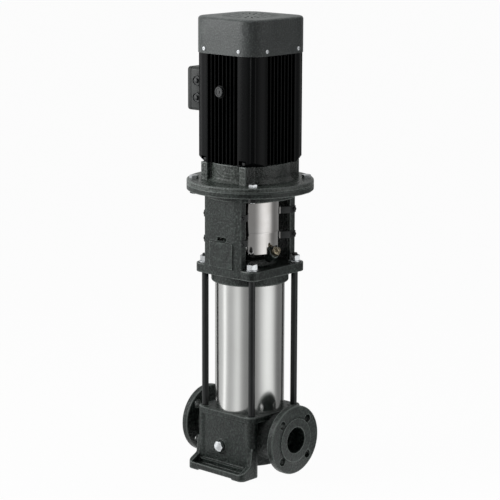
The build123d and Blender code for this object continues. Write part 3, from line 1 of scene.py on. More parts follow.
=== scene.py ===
import json
import logging
import math
from contextlib import contextmanager
from dataclasses import dataclass
from enum import Enum
from typing import ClassVar, Iterator, Optional, Sequence

import bmesh
import bpy
import numpy as np
from bpy.types import ID, Material, Mesh, Node, NodeSocket, NodeTree, Object
from mathutils import Matrix, Vector


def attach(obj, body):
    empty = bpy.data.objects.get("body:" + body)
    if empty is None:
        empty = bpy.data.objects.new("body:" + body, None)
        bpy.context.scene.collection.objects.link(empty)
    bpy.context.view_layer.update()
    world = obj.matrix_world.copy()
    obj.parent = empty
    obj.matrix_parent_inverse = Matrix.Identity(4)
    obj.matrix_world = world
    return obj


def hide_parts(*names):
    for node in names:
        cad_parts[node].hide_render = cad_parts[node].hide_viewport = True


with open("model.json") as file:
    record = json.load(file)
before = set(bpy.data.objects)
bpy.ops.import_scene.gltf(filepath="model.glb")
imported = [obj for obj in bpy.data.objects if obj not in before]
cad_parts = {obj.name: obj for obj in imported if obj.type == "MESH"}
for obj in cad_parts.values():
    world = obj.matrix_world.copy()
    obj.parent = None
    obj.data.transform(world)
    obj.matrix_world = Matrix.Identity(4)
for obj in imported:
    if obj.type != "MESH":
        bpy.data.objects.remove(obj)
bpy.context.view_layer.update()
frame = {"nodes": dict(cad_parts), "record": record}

LOG = logging.getLogger("vertical_pump")
MM = 0.001
FINE = 192                # facets round a large turned piece
MEDIUM = 48               # the same for a small one
COARSE = 32               # the same for a piece that is hardly seen
HEX_FACETS = 72           # the same for a nut or bolt head
SCREW_FACETS = 36         # the same for a small screw
PIN = 0.01                # millimetres: the middle of a turned piece, which so has no pole
HEAD_PIN = 0.05           # the same in the middle of a screw or bolt head
PLAY = 0.05               # millimetres between a thread and its nut or washer
SIXTH = math.pi / 3       # one side of a hexagon, seen from its middle
HEX_FACE = 0.94           # width of a turned hexagon's flat face over its width
HEX_SLOPE = 30.0          # degrees to which its corners are turned off
POINT = 1e-6              # metres within which two points are one
SEAM = 2e-6               # the same in a CAD mesh
FLAT = 0.5                # degrees: faces that meet flatter than this become one
SHARP = 35.0              # degrees: edges sharper than this are broken, and shaded sharp
CASTING_VOXEL = 1.5       # millimetres
CASTING_ROUNDS = 3        # of smoothing
CASTING_LIMIT = 190000    # triangles
CASTING_SHARP = 50.0      # degrees: edges of a casting sharper than this are shaded sharp
SWING = (0.3, 0.7)        # noise values between which gloss swings
PATCHES = (0.35, 0.70)    # the same for broad patches of colour
GRAINS = (0.48, 0.72)     # the same for the lighter grains of a coating
CONVEX = (0.507, 0.54)    # pointiness between which convex edges get the painted highlight
EDGE_HIGHLIGHT = "8b938f"         # colour of the painted highlight on convex edges, sRGB hex
Profile = Sequence[tuple[float, ...]]


# ---------------------------------------------------------------- small helpers
def linear(code: str) -> tuple[float, float, float, float]:
    """Turns an sRGB hex colour into linear RGBA.

    Args:
        code: Six hex digits, such as "343837".

    Returns:
        Red, green, blue and alpha for a shader socket.
    """
    channels = [int(code[start:start + 2], 16) / 255 for start in (0, 2, 4)]
    values = [c / 12.92 if c <= 0.04045 else ((c + 0.055) / 1.055) ** 2.4 for c in channels]
    return (values[0], values[1], values[2], 1.0)


def cells(size_mm: float) -> float:
    """Noise scale whose cells are size_mm wide on Object coordinates in metres."""
    return 1.0 / (size_mm * MM)


def add_node(tree: NodeTree, kind: str, settings: Optional[dict] = None,
             inputs: Optional[dict] = None) -> Node:
    """Adds a node to a shader or geometry tree.

    Args:
        tree: The tree that gets the node.
        kind: The node's type name.
        settings: Attributes of the node.
        inputs: Input name or index to a value, or to the output socket that feeds it.

    Returns:
        The new node.
    """
    node = tree.nodes.new(kind)
    for name, value in (settings or {}).items():
        setattr(node, name, value)
    for name, value in (inputs or {}).items():
        if isinstance(value, NodeSocket):
            tree.links.new(value, node.inputs[name])
        else:
            node.inputs[name].default_value = value
    return node


def empty_tree(owner: ID) -> NodeTree:
    """Turns on the nodes of a material or world.

    Args:
        owner: The material or world.

    Returns:
        Its tree, emptied.
    """
    owner.use_nodes = True
    owner.node_tree.nodes.clear()
    return owner.node_tree


# ---------------------------------------------------------------- finishes
def overlaid(tree: NodeTree, value: NodeSocket, limits: tuple[float, float],
             strength: float, under: object, over: str) -> NodeSocket:
    """Lays one colour over another where a value is high.

    Args:
        tree: The material's tree.
        value: Socket that says where.
        limits: Values at which the upper colour starts and is strongest.
        strength: Most of the upper colour, 0 to 1.
        under: Lower colour, linear RGBA or a socket.
        over: Upper colour, sRGB hex.

    Returns:
        Socket of the mixed colour.
    """
    share = add_node(tree, "ShaderNodeMapRange", inputs={
        "Value": value, "From Min": limits[0], "From Max": limits[1],
        "To Min": 0.0, "To Max": strength})
    mixed = add_node(tree, "ShaderNodeMix", {"data_type": "RGBA"}, {
        0: share.outputs[0], 6: under, 7: linear(over)})
    return mixed.outputs[2]


class Grain(Enum):
    """Direction in which a metal surface was worked, as Mapping scales along X, Y and Z."""

    ROUND_SHAFT = (0.004, 0.004, 1.0)
    ALONG_SHAFT = (1.0, 1.0, 0.004)
    EVEN = (1.0, 1.0, 1.0)


@dataclass(frozen=True)
class Surface:
    """A fine texture that sets gloss and bump, over broad patches of colour.

    Attributes:
        name: Common name of the material.
        slot: The record's material slot.
        tone: Base colour, sRGB hex.
        worn: Colour of the patches, sRGB hex.
        roughness: Mean roughness.
        spread: How far roughness swings about its mean.
        grain_mm: Width of the texture's cells or lines.
        depth_mm: Height of the texture.
        patch_mm: Width of the patches.
        patch: Strength of the patches, 0 to 1.
    """

    name: str
    slot: str
    tone: str
    worn: str
    roughness: float
    spread: float
    grain_mm: float
    depth_mm: float
    patch_mm: float = 40.0
    patch: float = 0.5
    fine_noise: ClassVar[tuple[float, float]] = (3.0, 0.55)    # detail and roughness
    broad_noise: ClassVar[tuple[float, float]] = (4.0, 0.6)

    def build(self) -> Material:
        """Makes the node material."""
        material = bpy.data.materials.new(self.name)
        tree = empty_tree(material)
        coords = add_node(tree, "ShaderNodeTexCoord").outputs["Object"]
        fine, broad = (add_node(tree, "ShaderNodeTexNoise", inputs={
            "Vector": vector, "Scale": cells(size), "Detail": noise[0], "Roughness": noise[1]})
            for vector, size, noise in (
                (self.drawn_out(tree, coords), self.grain_mm, self.fine_noise),
                (coords, self.patch_mm, self.broad_noise)))
        texture = fine.outputs["Fac"]
        colour = overlaid(tree, broad.outputs["Fac"], PATCHES, self.patch, linear(self.tone),
                          self.worn)
        gloss = add_node(tree, "ShaderNodeMapRange", inputs={
            "Value": texture, "From Min": SWING[0], "From Max": SWING[1],
            "To Min": self.roughness - self.spread, "To Max": self.roughness + self.spread})
        bump = add_node(tree, "ShaderNodeBump", inputs={
            "Height": texture, "Distance": self.depth_mm * MM, "Strength": 1.0})
        shader = add_node(tree, "ShaderNodeBsdfPrincipled", inputs={
            "Roughness": gloss.outputs[0], "Normal": bump.outputs[0],
            **self.shading(tree, texture, colour)})
        add_node(tree, "ShaderNodeOutputMaterial", inputs={"Surface": shader.outputs[0]})
        return material

    def drawn_out(self, tree: NodeTree, coords: NodeSocket) -> NodeSocket:
        """Coordinates of the fine texture."""
        return coords

    def shading(self, tree: NodeTree, texture: NodeSocket, colour: NodeSocket) -> dict:
        """The shader's other inputs."""
        return {"Base Color": colour}


@dataclass(frozen=True)
class Coating(Surface):
    """A paint, lacquer, moulded plastic or rubber skin. Its patches are lighter.

    Attributes:
        specular: Specular level of the coat.
        speckle: Strength of the lighter grains, 0 to 1.
        edge_highlight: Strength of the painted highlight on convex edges, 0 to 1; only for finely
            meshed castings.
    """

    specular: float = 0.5
    speckle: float = 0.3
    edge_highlight: float = 0.0

    def shading(self, tree: NodeTree, texture: NodeSocket, colour: NodeSocket) -> dict:
        """Adds lighter grains and a painted highlight on convex edges to the colour.

        Args:
            tree: The material's tree.
            texture: Socket of the fine texture.
            colour: Socket of the colour so far.

        Returns:
            The shader's other inputs.
        """
        colour = overlaid(tree, texture, GRAINS, self.speckle, colour, self.worn)
        # Painted highlight: convex edges are coloured lighter.
        if self.edge_highlight:
            pointed = add_node(tree, "ShaderNodeNewGeometry").outputs["Pointiness"]
            colour = overlaid(tree, pointed, CONVEX, self.edge_highlight, colour, EDGE_HIGHLIGHT)
        return {"Base Color": colour, "Specular IOR Level": self.specular}


@dataclass(frozen=True)
class Metal(Surface):
    """A bare, plated or ground metal. Its patches are duller.

    Attributes:
        grain: Direction of the working marks.
    """

    patch_mm: float = 30.0
    patch: float = 0.6
    grain: Grain = Grain.EVEN
    fine_noise: ClassVar[tuple[float, float]] = (3.0, 0.6)
    broad_noise: ClassVar[tuple[float, float]] = (3.0, 0.5)

    def drawn_out(self, tree: NodeTree, coords: NodeSocket) -> NodeSocket:
        """Coordinates drawn out along the working marks."""
        return add_node(tree, "ShaderNodeMapping", inputs={
            "Vector": coords, "Scale": self.grain.value}).outputs[0]

    def shading(self, tree: NodeTree, texture: NodeSocket, colour: NodeSocket) -> dict:
        """The shader's other inputs: bare metal."""
        return {"Base Color": colour, "Metallic": 1.0}


class Finish(Enum):
    """Every finish of the pump."""

    # Electro-coated grey iron: near black and satin, with the sand mould's grain under the coat
    # and a painted highlight on its convex edges. The grain is drawn at 5.5 mm, coarser than the
    # real
    # 0.5 mm, so that it shows from a few metres.
    COATED_IRON = Coating("electrocoated_grey_iron", "cast_iron_coated", "0e1613", "4b5651",
                          0.36, 0.12, 5.5, 1.90, 45.0, 0.22, 0.42, 0.90, 0.8)
    # Rolled stainless sheet, ground round the axis: soft upright highlights. The grinding
    # lines are drawn far coarser than the real 0.1 mm, so that they show at all.
    SATIN_STAINLESS = Metal("satin_stainless_sheet", "stainless_satin", "d9dad8", "cbcbc8",
                            0.19, 0.04, 2.0, 0.002, 90.0, 0.3, grain=Grain.ROUND_SHAFT)
    # Bright annealed sheet of the coupling guards: near mirror, with faint upright rolling lines.
    BRIGHT_STAINLESS = Metal("bright_stainless_sheet", "stainless_polished", "d9d7d5", "c2beba",
                             0.09, 0.03, 1.6, 0.002, 40.0, 0.5, grain=Grain.ALONG_SHAFT)
    # Zinc plate: silver with cloudy patches.
    ZINC = Metal("zinc_plated_steel", "zinc_plated", "e3e6e8", "b9bdbf",
                 0.26, 0.08, 1.2, 0.006, 6.0, 0.7)
    # Black oxide on drawn bar and bolts: dark and satin. It is painted shade on the nuts under
    # the stool flange and on the guards' stainless tabs and their screws.
    BLACK_OXIDE = Coating("black_oxide_steel", "blackened_steel", "1b1e1e", "2c3030",
                          0.34, 0.06, 3.0, 0.04, 30.0, 0.4, 0.40, 0.3)
    # Thin black paint on die-cast alloy fins: almost no texture.
    MOTOR_BLACK = Coating("black_painted_alloy", "motor_black", "030405", "0d1112",
                          0.30, 0.05, 3.0, 0.10, 60.0, 0.4, 0.12, 0.4)
    # Grey paint on the cast motor bracket: a soft sheen on a grain drawn as coarse as the
    # iron's, so that it shows. Its convex edges get a painted highlight.
    MOTOR_GREY = Coating("grey_painted_iron", "motor_grey", "282f2a", "757d78",
                         0.30, 0.12, 5.5, 1.90, 40.0, 0.3, 0.55, 0.90, 0.8)
    # Textured powder coat on pressed sheet: grey, even and faintly pebbled. The pebbles are
    # drawn at 4 mm, not the real 1 mm, so that they show.
    POWDER_COAT = Coating("textured_powder_coat", "cover_grey", "4d5251", "808483",
                          0.40, 0.10, 4.0, 1.10, 70.0, 0.3, 0.35, 0.7)
    # Satin paint on the die-cast terminal box: smooth dark grey.
    BOX_GREY = Coating("grey_painted_alloy", "box_grey", "1d2120", "424746",
                       0.40, 0.07, 3.0, 0.15, 30.0, 0.4, 0.45, 0.4)
    # Glass-filled nylon: dull black with a faint grain.
    NYLON = Coating("glass_filled_nylon", "black_plastic", "252829", "35393a",
                    0.42, 0.06, 1.2, 0.03, 20.0, 0.4, 0.5)
    # Bare turned brass, tarnished to a pale brown.
    BRASS = Metal("turned_brass", "brass", "b2a993", "8a8070",
                  0.28, 0.08, 1.0, 0.006, 5.0, 0.7)
    # Nitrile rubber: black and dull.
    NITRILE = Coating("nitrile_rubber", "rubber", "101010", "1a1a1a", 0.62, 0.06, 1.0, 0.02)
    # Lapped silicon carbide: even dark grey with a low gloss.
    CARBIDE = Coating("lapped_silicon_carbide", "seal_ceramic", "4a4a4c", "57575a",
                      0.22, 0.04, 0.8, 0.004)
    # Turned and oiled steel: dark, with a slight shine round the axis.
    OILED_STEEL = Metal("oiled_turned_steel", "dark_steel", "6c6b69", "4f4d4a",
                        0.32, 0.08, 1.2, 0.008, 15.0, 0.6, grain=Grain.ROUND_SHAFT)
    # Ground bearing steel: bright and even.
    BEARING_STEEL = Metal("ground_bearing_steel", "bearing_steel", "d6d7da", "c2c3c7",
                          0.12, 0.03, 1.0, 0.003, grain=Grain.ROUND_SHAFT)
    # Stacked core sheets, seen as fine level lines.
    CORE_SHEET = Metal("laminated_core_steel", "electrical_steel", "8c8e92", "6d6f73",
                       0.45, 0.10, 1.0, 0.080, grain=Grain.ROUND_SHAFT)
    # Varnished copper winding: brown red, ribbed by its wires.
    COPPER = Metal("varnished_copper_wire", "winding_copper", "a4603a", "7c4426",
                   0.35, 0.10, 1.3, 0.200, grain=Grain.ROUND_SHAFT)


class Palette:
    """Builds each finish once and dresses the CAD nodes that stay visible."""

    def __init__(self) -> None:
        """Starts with no materials built."""
        self._built: dict[Finish, Material] = {}
        self._slots = {finish.value.slot: finish for finish in Finish}

    def of(self, finish: Finish) -> Material:
        """Gives the material of a finish.

        Args:
            finish: The finish.

        Returns:
            Its material, built at the first call.
        """
        if finish not in self._built:
            self._built[finish] = finish.value.build()
        return self._built[finish]

    def dress_nodes(self) -> None:
        """Gives every CAD node the finish of its material slot."""
        subparts = {part["node"]: part["material_slot"] for part in frame["record"]["subparts"]}
        for name, obj in frame["nodes"].items():
            obj.data.materials.clear()
            obj.data.materials.append(self.of(self._slots[subparts[name]]))


PALETTE = Palette()


# ---------------------------------------------------------------- meshes
def new_object(name: str, data: ID) -> Object:
    """Links data to the scene as an object at the origin.

    Args:
        name: Name of the object.
        data: Its mesh, camera or light.

    Returns:
        The new object.
    """
    obj = bpy.data.objects.new(name, data)
    bpy.context.scene.collection.objects.link(obj)
    return obj


def discard(obj: Object) -> None:
    """Removes a helper object."""
    bpy.data.objects.remove(obj, do_unlink=True)


def settle(obj: Object) -> Mesh:
    """Turns an object with live modifiers into a plain mesh and removes the object.

    Args:
        obj: The object to evaluate.

    Returns:
        Its evaluated mesh.
    """
    bpy.context.view_layer.update()
    evaluated = obj.evaluated_get(bpy.context.evaluated_depsgraph_get())
    mesh = bpy.data.meshes.new_from_object(evaluated)
    discard(obj)
    return mesh


def from_rings(rings: Sequence[np.ndarray], closed: bool) -> Mesh:
    """Joins rings of equal count into a closed skin.

    Args:
        rings: Arrays of N points in metres, in order along the surface.
        closed: True joins the last ring to the first; False caps both ends.

    Returns:
        A mesh whose faces point outwards.
    """
    count = len(rings[0])
    points = np.concatenate(rings)
    faces = []
    spans = len(rings) if closed else len(rings) - 1
    for ring in range(spans):
        low, high = ring * count, (ring + 1) % len(rings) * count
        for step in range(count):
            after = (step + 1) % count
            faces.append((low + step, low + after, high + after, high + step))
    if not closed:
        faces.append(tuple(range(count - 1, -1, -1)))
        faces.append(tuple(range((len(rings) - 1) * count, len(rings) * count)))
    mesh = bpy.data.meshes.new("rings")
    mesh.from_pydata(points.tolist(), [], faces)
    return tidy(mesh)


@contextmanager
def edited(mesh: Mesh) -> Iterator[bmesh.types.BMesh]:
    """Opens a mesh for editing and writes it back.

    Args:
        mesh: The mesh to edit.

    Yields:
        The opened mesh.
    """
    bm = bmesh.new()
    bm.from_mesh(mesh)
    yield bm
    bm.to_mesh(mesh)
    bm.free()


def tidy(mesh: Mesh) -> Mesh:
    """Merges doubles and points the faces outwards.

    Args:
        mesh: The mesh to change.

    Returns:
        The same mesh.
    """
    with edited(mesh) as bm:
        bmesh.ops.remove_doubles(bm, verts=bm.verts, dist=POINT)
        bmesh.ops.recalc_face_normals(bm, faces=bm.faces)
    return mesh


def rounded(profile: Profile, facets: int = 4) -> list[tuple[float, float]]:
    """Rounds the corners of a profile.

    Args:
        profile: (x, y) or (x, y, radius) points in millimetres.
        facets: Facets in each rounded corner.

    Returns:
        The profile's points with arcs at the corners that have a radius.
    """
    points = []
    for index, corner in enumerate(profile):
        here = Vector(corner[:2])
        radius = corner[2] if len(corner) > 2 else 0.0
        if radius <= 0:
            points.append(tuple(here))
            continue
        back = (Vector(profile[index - 1][:2]) - here).normalized()
        ahead = (Vector(profile[(index + 1) % len(profile)][:2]) - here).normalized()
        half = back.angle(ahead) / 2
        reach = radius / math.tan(half)
        centre = here + (back + ahead).normalized() * radius / math.sin(half)
        start, end = here + back * reach - centre, here + ahead * reach - centre
        turn = start.angle_signed(end)
        points += [tuple(centre + Matrix.Rotation(-turn * step / facets, 2) @ start)
                   for step in range(facets + 1)]
    return points


def round_angles(count: int) -> np.ndarray:
    """Even angles round a circle, in radians."""
    return np.linspace(0, 2 * math.pi, count, endpoint=False)


def circle(radius: object, level: object, angles: np.ndarray) -> np.ndarray:
    """Ring of points in metres.

    Args:
        radius: One radius in millimetres, or one for each point.
        level: One level in millimetres, or one for each point.
        angles: Angle of each point in radians.

    Returns:
        The points, one to a row.
    """
    radius, level = np.broadcast_to(radius, angles.shape), np.broadcast_to(level, angles.shape)
    return np.stack([radius * np.cos(angles), radius * np.sin(angles), level], axis=1) * MM


def hexagon_reach(across: float, angles: np.ndarray) -> np.ndarray:
    """Distance from the middle of a hexagon to its sides at each angle."""
    return across / 2 / np.cos(angles % SIXTH - SIXTH / 2)


def lathe(profile: Profile, segments: int = MEDIUM) -> Mesh:
    """Turns a profile about the shaft.

    Args:
        profile: Closed profile of (radius, level) or (radius, level, rounding) in millimetres.
        segments: Facets round the shaft.

    Returns:
        The turned mesh.
    """
    angles = round_angles(segments)
    return from_rings([circle(radius, level, angles) for radius, level in rounded(profile)],
                      closed=True)


def square_ring(half_x: float, half_y: float, corner: float, level: float,
                facets: int = 10) -> np.ndarray:
    """Outline of a rounded rectangle round the shaft.

    Args:
        half_x: Half its width in millimetres.
        half_y: Half its depth.
        corner: Radius of its corners.
        level: Its level.
        facets: Facets in each corner.

    Returns:
        The points in metres, one to a row.
    """
    points = []
    for quarter, (sx, sy) in enumerate(((1, 1), (-1, 1), (-1, -1), (1, -1))):
        for step in range(facets + 1):
            angle = math.pi / 2 * (quarter + step / facets)
            points.append((sx * (half_x - corner) + corner * math.cos(angle),
                           sy * (half_y - corner) + corner * math.sin(angle), level))
    return np.array(points) * MM


def hexagon_piece(across: float, height: float, bore: float = 0.0,
                  chamfers: tuple[bool, bool] = (False, True)) -> Mesh:
    """Hexagon nut or bolt head with turned corners.

    Args:
        across: Width over the flats in millimetres.
        height: Height in millimetres, from level 0 upwards.
        bore: Bore radius in millimetres, 0 for a solid head.
        chamfers: Whether the lower and the upper corners are turned off.

    Returns:
        The mesh, on the Z axis.
    """
    angles = round_angles(HEX_FACETS)
    outer = hexagon_reach(across, angles)
    face = HEX_FACE * across / 2
    fall = (outer - face) * math.tan(math.radians(HEX_SLOPE))
    inner = max(bore, HEAD_PIN)
    steps = [(inner, 0.0)]
    steps += [(face, 0.0), (outer, fall)] if chamfers[0] else [(outer, 0.0)]
    steps += [(outer, height - fall), (face, height)] if chamfers[1] else [(outer, height)]
    if bore > 0:
        bevel = min(0.8, height / 6)
        steps += [(inner + bevel, height), (inner, height - bevel)]
    else:
        steps.append((inner, height))
    return from_rings([circle(radius, level, angles) for radius, level in steps], closed=True)


@dataclass(frozen=True)
class SocketScrew:
    """Button-head screw with a hexagon socket. Sizes in millimetres.

    Attributes:
        radius: Head radius.
        height: Head height.
        across: Width of the socket.
        shank: Shank radius.
        length: Shank length below the head.
    """

    radius: float
    height: float
    across: float
    shank: float
    length: float

    def build(self) -> Mesh:
        """Makes the screw on the Z axis, head upwards from level 0."""
        angles = round_angles(SCREW_FACETS)
        socket = hexagon_reach(self.across, angles)
        steps = ((HEAD_PIN, -self.length), (self.shank, -self.length), (self.shank, 0.0),
                 (self.radius, 0.0), (self.radius, 0.35 * self.height),
                 (0.93 * self.radius, 0.72 * self.height),
                 (0.78 * self.radius, 0.95 * self.height), (0.66 * self.radius, self.height),
                 (socket, self.height), (0.96 * socket, 0.25 * self.height),
                 (HEAD_PIN, 0.2 * self.height))
        return from_rings([circle(size, level, angles) for size, level in steps], closed=False)


def prism(outline: Profile, bottom: float, top: float) -> Mesh:
    """Upright prism.

    Args:
        outline: Its plan outline, (x, y) points in millimetres.
        bottom: Its lower level.
        top: Its upper level.

    Returns:
        The closed mesh.
    """
    plan = np.array([point[:2] for point in outline], dtype=float)
    return from_rings([np.column_stack([plan, np.full(len(plan), level)]) * MM
                       for level in (bottom, top)], closed=False)


def joined(meshes: Sequence[Mesh]) -> Mesh:
    """Joins several meshes into one.

    Args:
        meshes: The meshes.

    Returns:
        A new mesh.
    """
    bm = bmesh.new()
    for mesh in meshes:
        bm.from_mesh(mesh)
    result = bpy.data.meshes.new("joined")
    bm.to_mesh(result)
    bm.free()
    return result


def moved(mesh: Mesh, matrix: Matrix) -> Mesh:
    """Copies a mesh to another place.

    Args:
        mesh: The mesh to copy.
        matrix: Its place and turn.

    Returns:
        The copy.
    """
    copy = mesh.copy()
    copy.transform(matrix)
    return copy


def place(x: float, y: float, z: float, turn: Matrix = Matrix.Identity(4)) -> Matrix:
    """Matrix that turns a piece and then moves it to a point in millimetres."""
    return Matrix.Translation((x * MM, y * MM, z * MM)) @ turn


def spin(angle: float, axis: str = "Z") -> Matrix:
    """Turn in degrees about an axis."""
    return Matrix.Rotation(math.radians(angle), 4, axis)


def four_corners(x: float, y: float, z: float = 0.0) -> list[Matrix]:
    """Places at the four corners of a rectangle round the shaft, in millimetres."""
    return [place(side_x * x, side_y * y, z) for side_x in (-1, 1) for side_y in (-1, 1)]


def cut(mesh: Mesh, cutters: Mesh) -> Mesh:
    """Cuts one closed mesh with another.

    Args:
        mesh: The mesh to cut.
        cutters: What is taken away.

    Returns:
        What is left.
    """
    body, tool = new_object("body", mesh), new_object("tool", cutters)
    modifier = body.modifiers.new("cut", "BOOLEAN")
    modifier.object = tool
    modifier.operation = "DIFFERENCE"
    modifier.solver = "EXACT"
    result = settle(body)
    discard(tool)
    return result


def cad_copy(node: str) -> Mesh:
    """Copies a CAD node's mesh and merges its points.

    Args:
        node: The CAD node.

    Returns:
        The copy, with no material.
    """
    mesh = frame["nodes"][node].data.copy()
    mesh.materials.clear()
    with edited(mesh) as bm:
        bmesh.ops.remove_doubles(bm, verts=bm.verts, dist=SEAM)
    return mesh


def casting_skin(node: str) -> Mesh:
    """Softens a casting's edges and inner corners into the radii that sand moulding leaves.

    Args:
        node: CAD node to copy.

    Returns:
        The softened mesh.
    """
    obj = new_object("skin", cad_copy(node))
    remesh = obj.modifiers.new("voxels", "REMESH")
    remesh.mode = "VOXEL"
    remesh.voxel_size = CASTING_VOXEL * MM
    smooth = obj.modifiers.new("relax", "SMOOTH")
    smooth.factor = 0.5
    smooth.iterations = CASTING_ROUNDS
    obj = new_object("skin", settle(obj))
    count = triangles(obj.data)
    if count > CASTING_LIMIT:
        thin = obj.modifiers.new("thin", "DECIMATE")
        thin.ratio = CASTING_LIMIT / count
    return settle(obj)


def edged(node: str, width_mm: float) -> Mesh:
    """Breaks the sharp edges of a machined or pressed part.

    Args:
        node: CAD node to copy.
        width_mm: Width of the broken edge.

    Returns:
        The mesh with broken edges.
    """
    mesh = cad_copy(node)
    with edited(mesh) as bm:
        bmesh.ops.dissolve_limit(bm, angle_limit=math.radians(FLAT), verts=bm.verts,
                                 edges=bm.edges)
    obj = new_object("edged", mesh)
    bevel = obj.modifiers.new("bevel", "BEVEL")
    bevel.width = width_mm * MM
    bevel.segments = 2
    bevel.limit_method = "ANGLE"
    bevel.angle_limit = math.radians(SHARP)
    return settle(obj)


def triangles(mesh: Mesh) -> int:
    """Count of a mesh's triangles."""
    return sum(len(face.vertices) - 2 for face in mesh.polygons)


def publish(mesh: Mesh, name: str, finish: Finish, replaces: Sequence[str],
            body: str = "pump", smooth_angle: float = SHARP) -> None:
    """Makes a finished piece of a mesh, hangs it on its body and hides the CAD nodes it stands
    for.

    Args:
        mesh: The mesh, in place in the row frame.
        name: Name of the piece.
        finish: Its finish.
        replaces: CAD nodes that it stands for.
        body: CAD body that it rides on.
        smooth_angle: Edges sharper than this stay sharp in shading.
    """
    mesh.name = name
    mesh.materials.clear()
    mesh.materials.append(PALETTE.of(finish))
    mesh.polygons.foreach_set("use_smooth", [True] * len(mesh.polygons))
    mesh.set_sharp_from_angle(angle=math.radians(smooth_angle))
    obj = new_object(name, mesh)
    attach(obj, body)
    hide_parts(*replaces)
    LOG.info("%s: %d triangles, %s, on %s", name, triangles(mesh), finish.value.name, body)


def publish_casting(node: str, name: str, finish: Finish) -> None:
    """Makes the finished piece of a casting from its CAD node."""
    publish(casting_skin(node), name, finish, [node], smooth_angle=CASTING_SHARP)


# ---------------------------------------------------------------- Geometry Nodes for what repeats
class Layout(Enum):
    """How a tree sets out the copies of its piece, as its own inputs and their kinds."""

    RING = (("Count", "Int"), ("Radius", "Float"), ("Level", "Float"), ("Start angle", "Float"))
    ROW = (("Count", "Int"), ("Start", "Vector"), ("Pitch", "Vector"))
    PLACES = ()


class Repeater:
    """Geometry Nodes tree that repeats a piece, realises the copies and sets their material."""

    def __init__(self, layout: Layout) -> None:
        """Builds the tree of a layout.

        Args:
            layout: RING sets copies round the shaft, ROW along a line, PLACES at given points.
        """
        self.layout = layout
        name = "repeat_" + layout.name.lower()
        self.tree = bpy.data.node_groups.new(name, "GeometryNodeTree")
        self.sockets: dict[str, str] = {}
        face = self.tree.interface
        for way in ("INPUT", "OUTPUT"):
            face.new_socket("Geometry", in_out=way, socket_type="NodeSocketGeometry")
        for name, kind in (("Piece", "Object"), ("Finish", "Material"), *layout.value):
            self.sockets[name] = face.new_socket(
                name, in_out="INPUT", socket_type="NodeSocket" + kind).identifier
        self._wire()

    def _wire(self) -> None:
        """Adds the tree's nodes and links."""
        tree = self.tree
        given = add_node(tree, "NodeGroupInput")
        turn = None
        if self.layout is Layout.RING:
            index = add_node(tree, "GeometryNodeInputIndex")
            share = add_node(tree, "ShaderNodeMath", {"operation": "DIVIDE"}, {
                0: index.outputs[0], 1: given.outputs["Count"]})
            angle = add_node(tree, "ShaderNodeMath", {"operation": "MULTIPLY_ADD"}, {
                0: share.outputs[0], 1: 2 * math.pi, 2: given.outputs["Start angle"]})
            along = [add_node(tree, "ShaderNodeMath", {"operation": name}, {0: angle.outputs[0]})
                     for name in ("COSINE", "SINE")]
            reach = [add_node(tree, "ShaderNodeMath", {"operation": "MULTIPLY"}, {
                0: node.outputs[0], 1: given.outputs["Radius"]}) for node in along]
            spot = add_node(tree, "ShaderNodeCombineXYZ", inputs={
                0: reach[0].outputs[0], 1: reach[1].outputs[0], 2: given.outputs["Level"]})
            points = add_node(tree, "GeometryNodePoints", inputs={
                "Count": given.outputs["Count"], "Position": spot.outputs[0]})
            turn = add_node(tree, "ShaderNodeCombineXYZ", inputs={2: angle.outputs[0]})
        elif self.layout is Layout.ROW:
            points = add_node(tree, "GeometryNodeMeshLine", {"mode": "OFFSET"}, {
                "Count": given.outputs["Count"], "Start Location": given.outputs["Start"],
                "Offset": given.outputs["Pitch"]})
        else:
            points = given
            turn = add_node(tree, "GeometryNodeInputNamedAttribute", {"data_type": "FLOAT_VECTOR"},
                            {"Name": "turn"})
        piece = add_node(tree, "GeometryNodeObjectInfo", inputs={"Object": given.outputs["Piece"]})
        copies = add_node(tree, "GeometryNodeInstanceOnPoints", inputs={
            "Points": points.outputs[0], "Instance": piece.outputs["Geometry"]})
        if turn is not None:
            as_turn = add_node(tree, "FunctionNodeEulerToRotation", inputs={0: turn.outputs[0]})
            tree.links.new(as_turn.outputs[0], copies.inputs["Rotation"])
        real = add_node(tree, "GeometryNodeRealizeInstances", inputs={0: copies.outputs[0]})
        dressed = add_node(tree, "GeometryNodeSetMaterial", inputs={
            "Geometry": real.outputs[0], "Material": given.outputs["Finish"]})
        add_node(tree, "NodeGroupOutput", inputs={0: dressed.outputs[0]})

    def make(self, piece: Mesh, finish: Finish, sizes: Optional[dict] = None,
             places: Sequence[Matrix] = ()) -> Mesh:
        """Repeats a piece.

        Args:
            piece: The mesh to repeat.
            finish: Finish of the copies.
            sizes: Values for the tree's named inputs, in metres and radians.
            places: Matrices of the copies, for the PLACES layout.

        Returns:
            One plain mesh with all the copies.
        """
        master = new_object("master", piece)
        carrier_mesh = bpy.data.meshes.new("carrier")
        if places:
            carrier_mesh.from_pydata([tuple(m.translation) for m in places], [], [])
            turns = carrier_mesh.attributes.new("turn", "FLOAT_VECTOR", "POINT")
            turns.data.foreach_set("vector", [v for m in places for v in m.to_euler()])
        carrier = new_object("carrier", carrier_mesh)
        modifier = carrier.modifiers.new("repeat", "NODES")
        modifier.node_group = self.tree
        modifier[self.sockets["Piece"]] = master
        modifier[self.sockets["Finish"]] = PALETTE.of(finish)
        for name, value in (sizes or {}).items():
            modifier[self.sockets[name]] = value
        result = settle(carrier)
        discard(master)
        return result


RING = Repeater(Layout.RING)
ROW = Repeater(Layout.ROW)
PLACES = Repeater(Layout.PLACES)


def round_shaft(piece: Mesh, finish: Finish, count: int) -> Mesh:
    """Repeats a piece that is in place as it stands, evenly round the shaft."""
    return RING.make(piece, finish, {"Count": count, "Radius": 0.0, "Level": 0.0,
                                     "Start angle": 0.0})


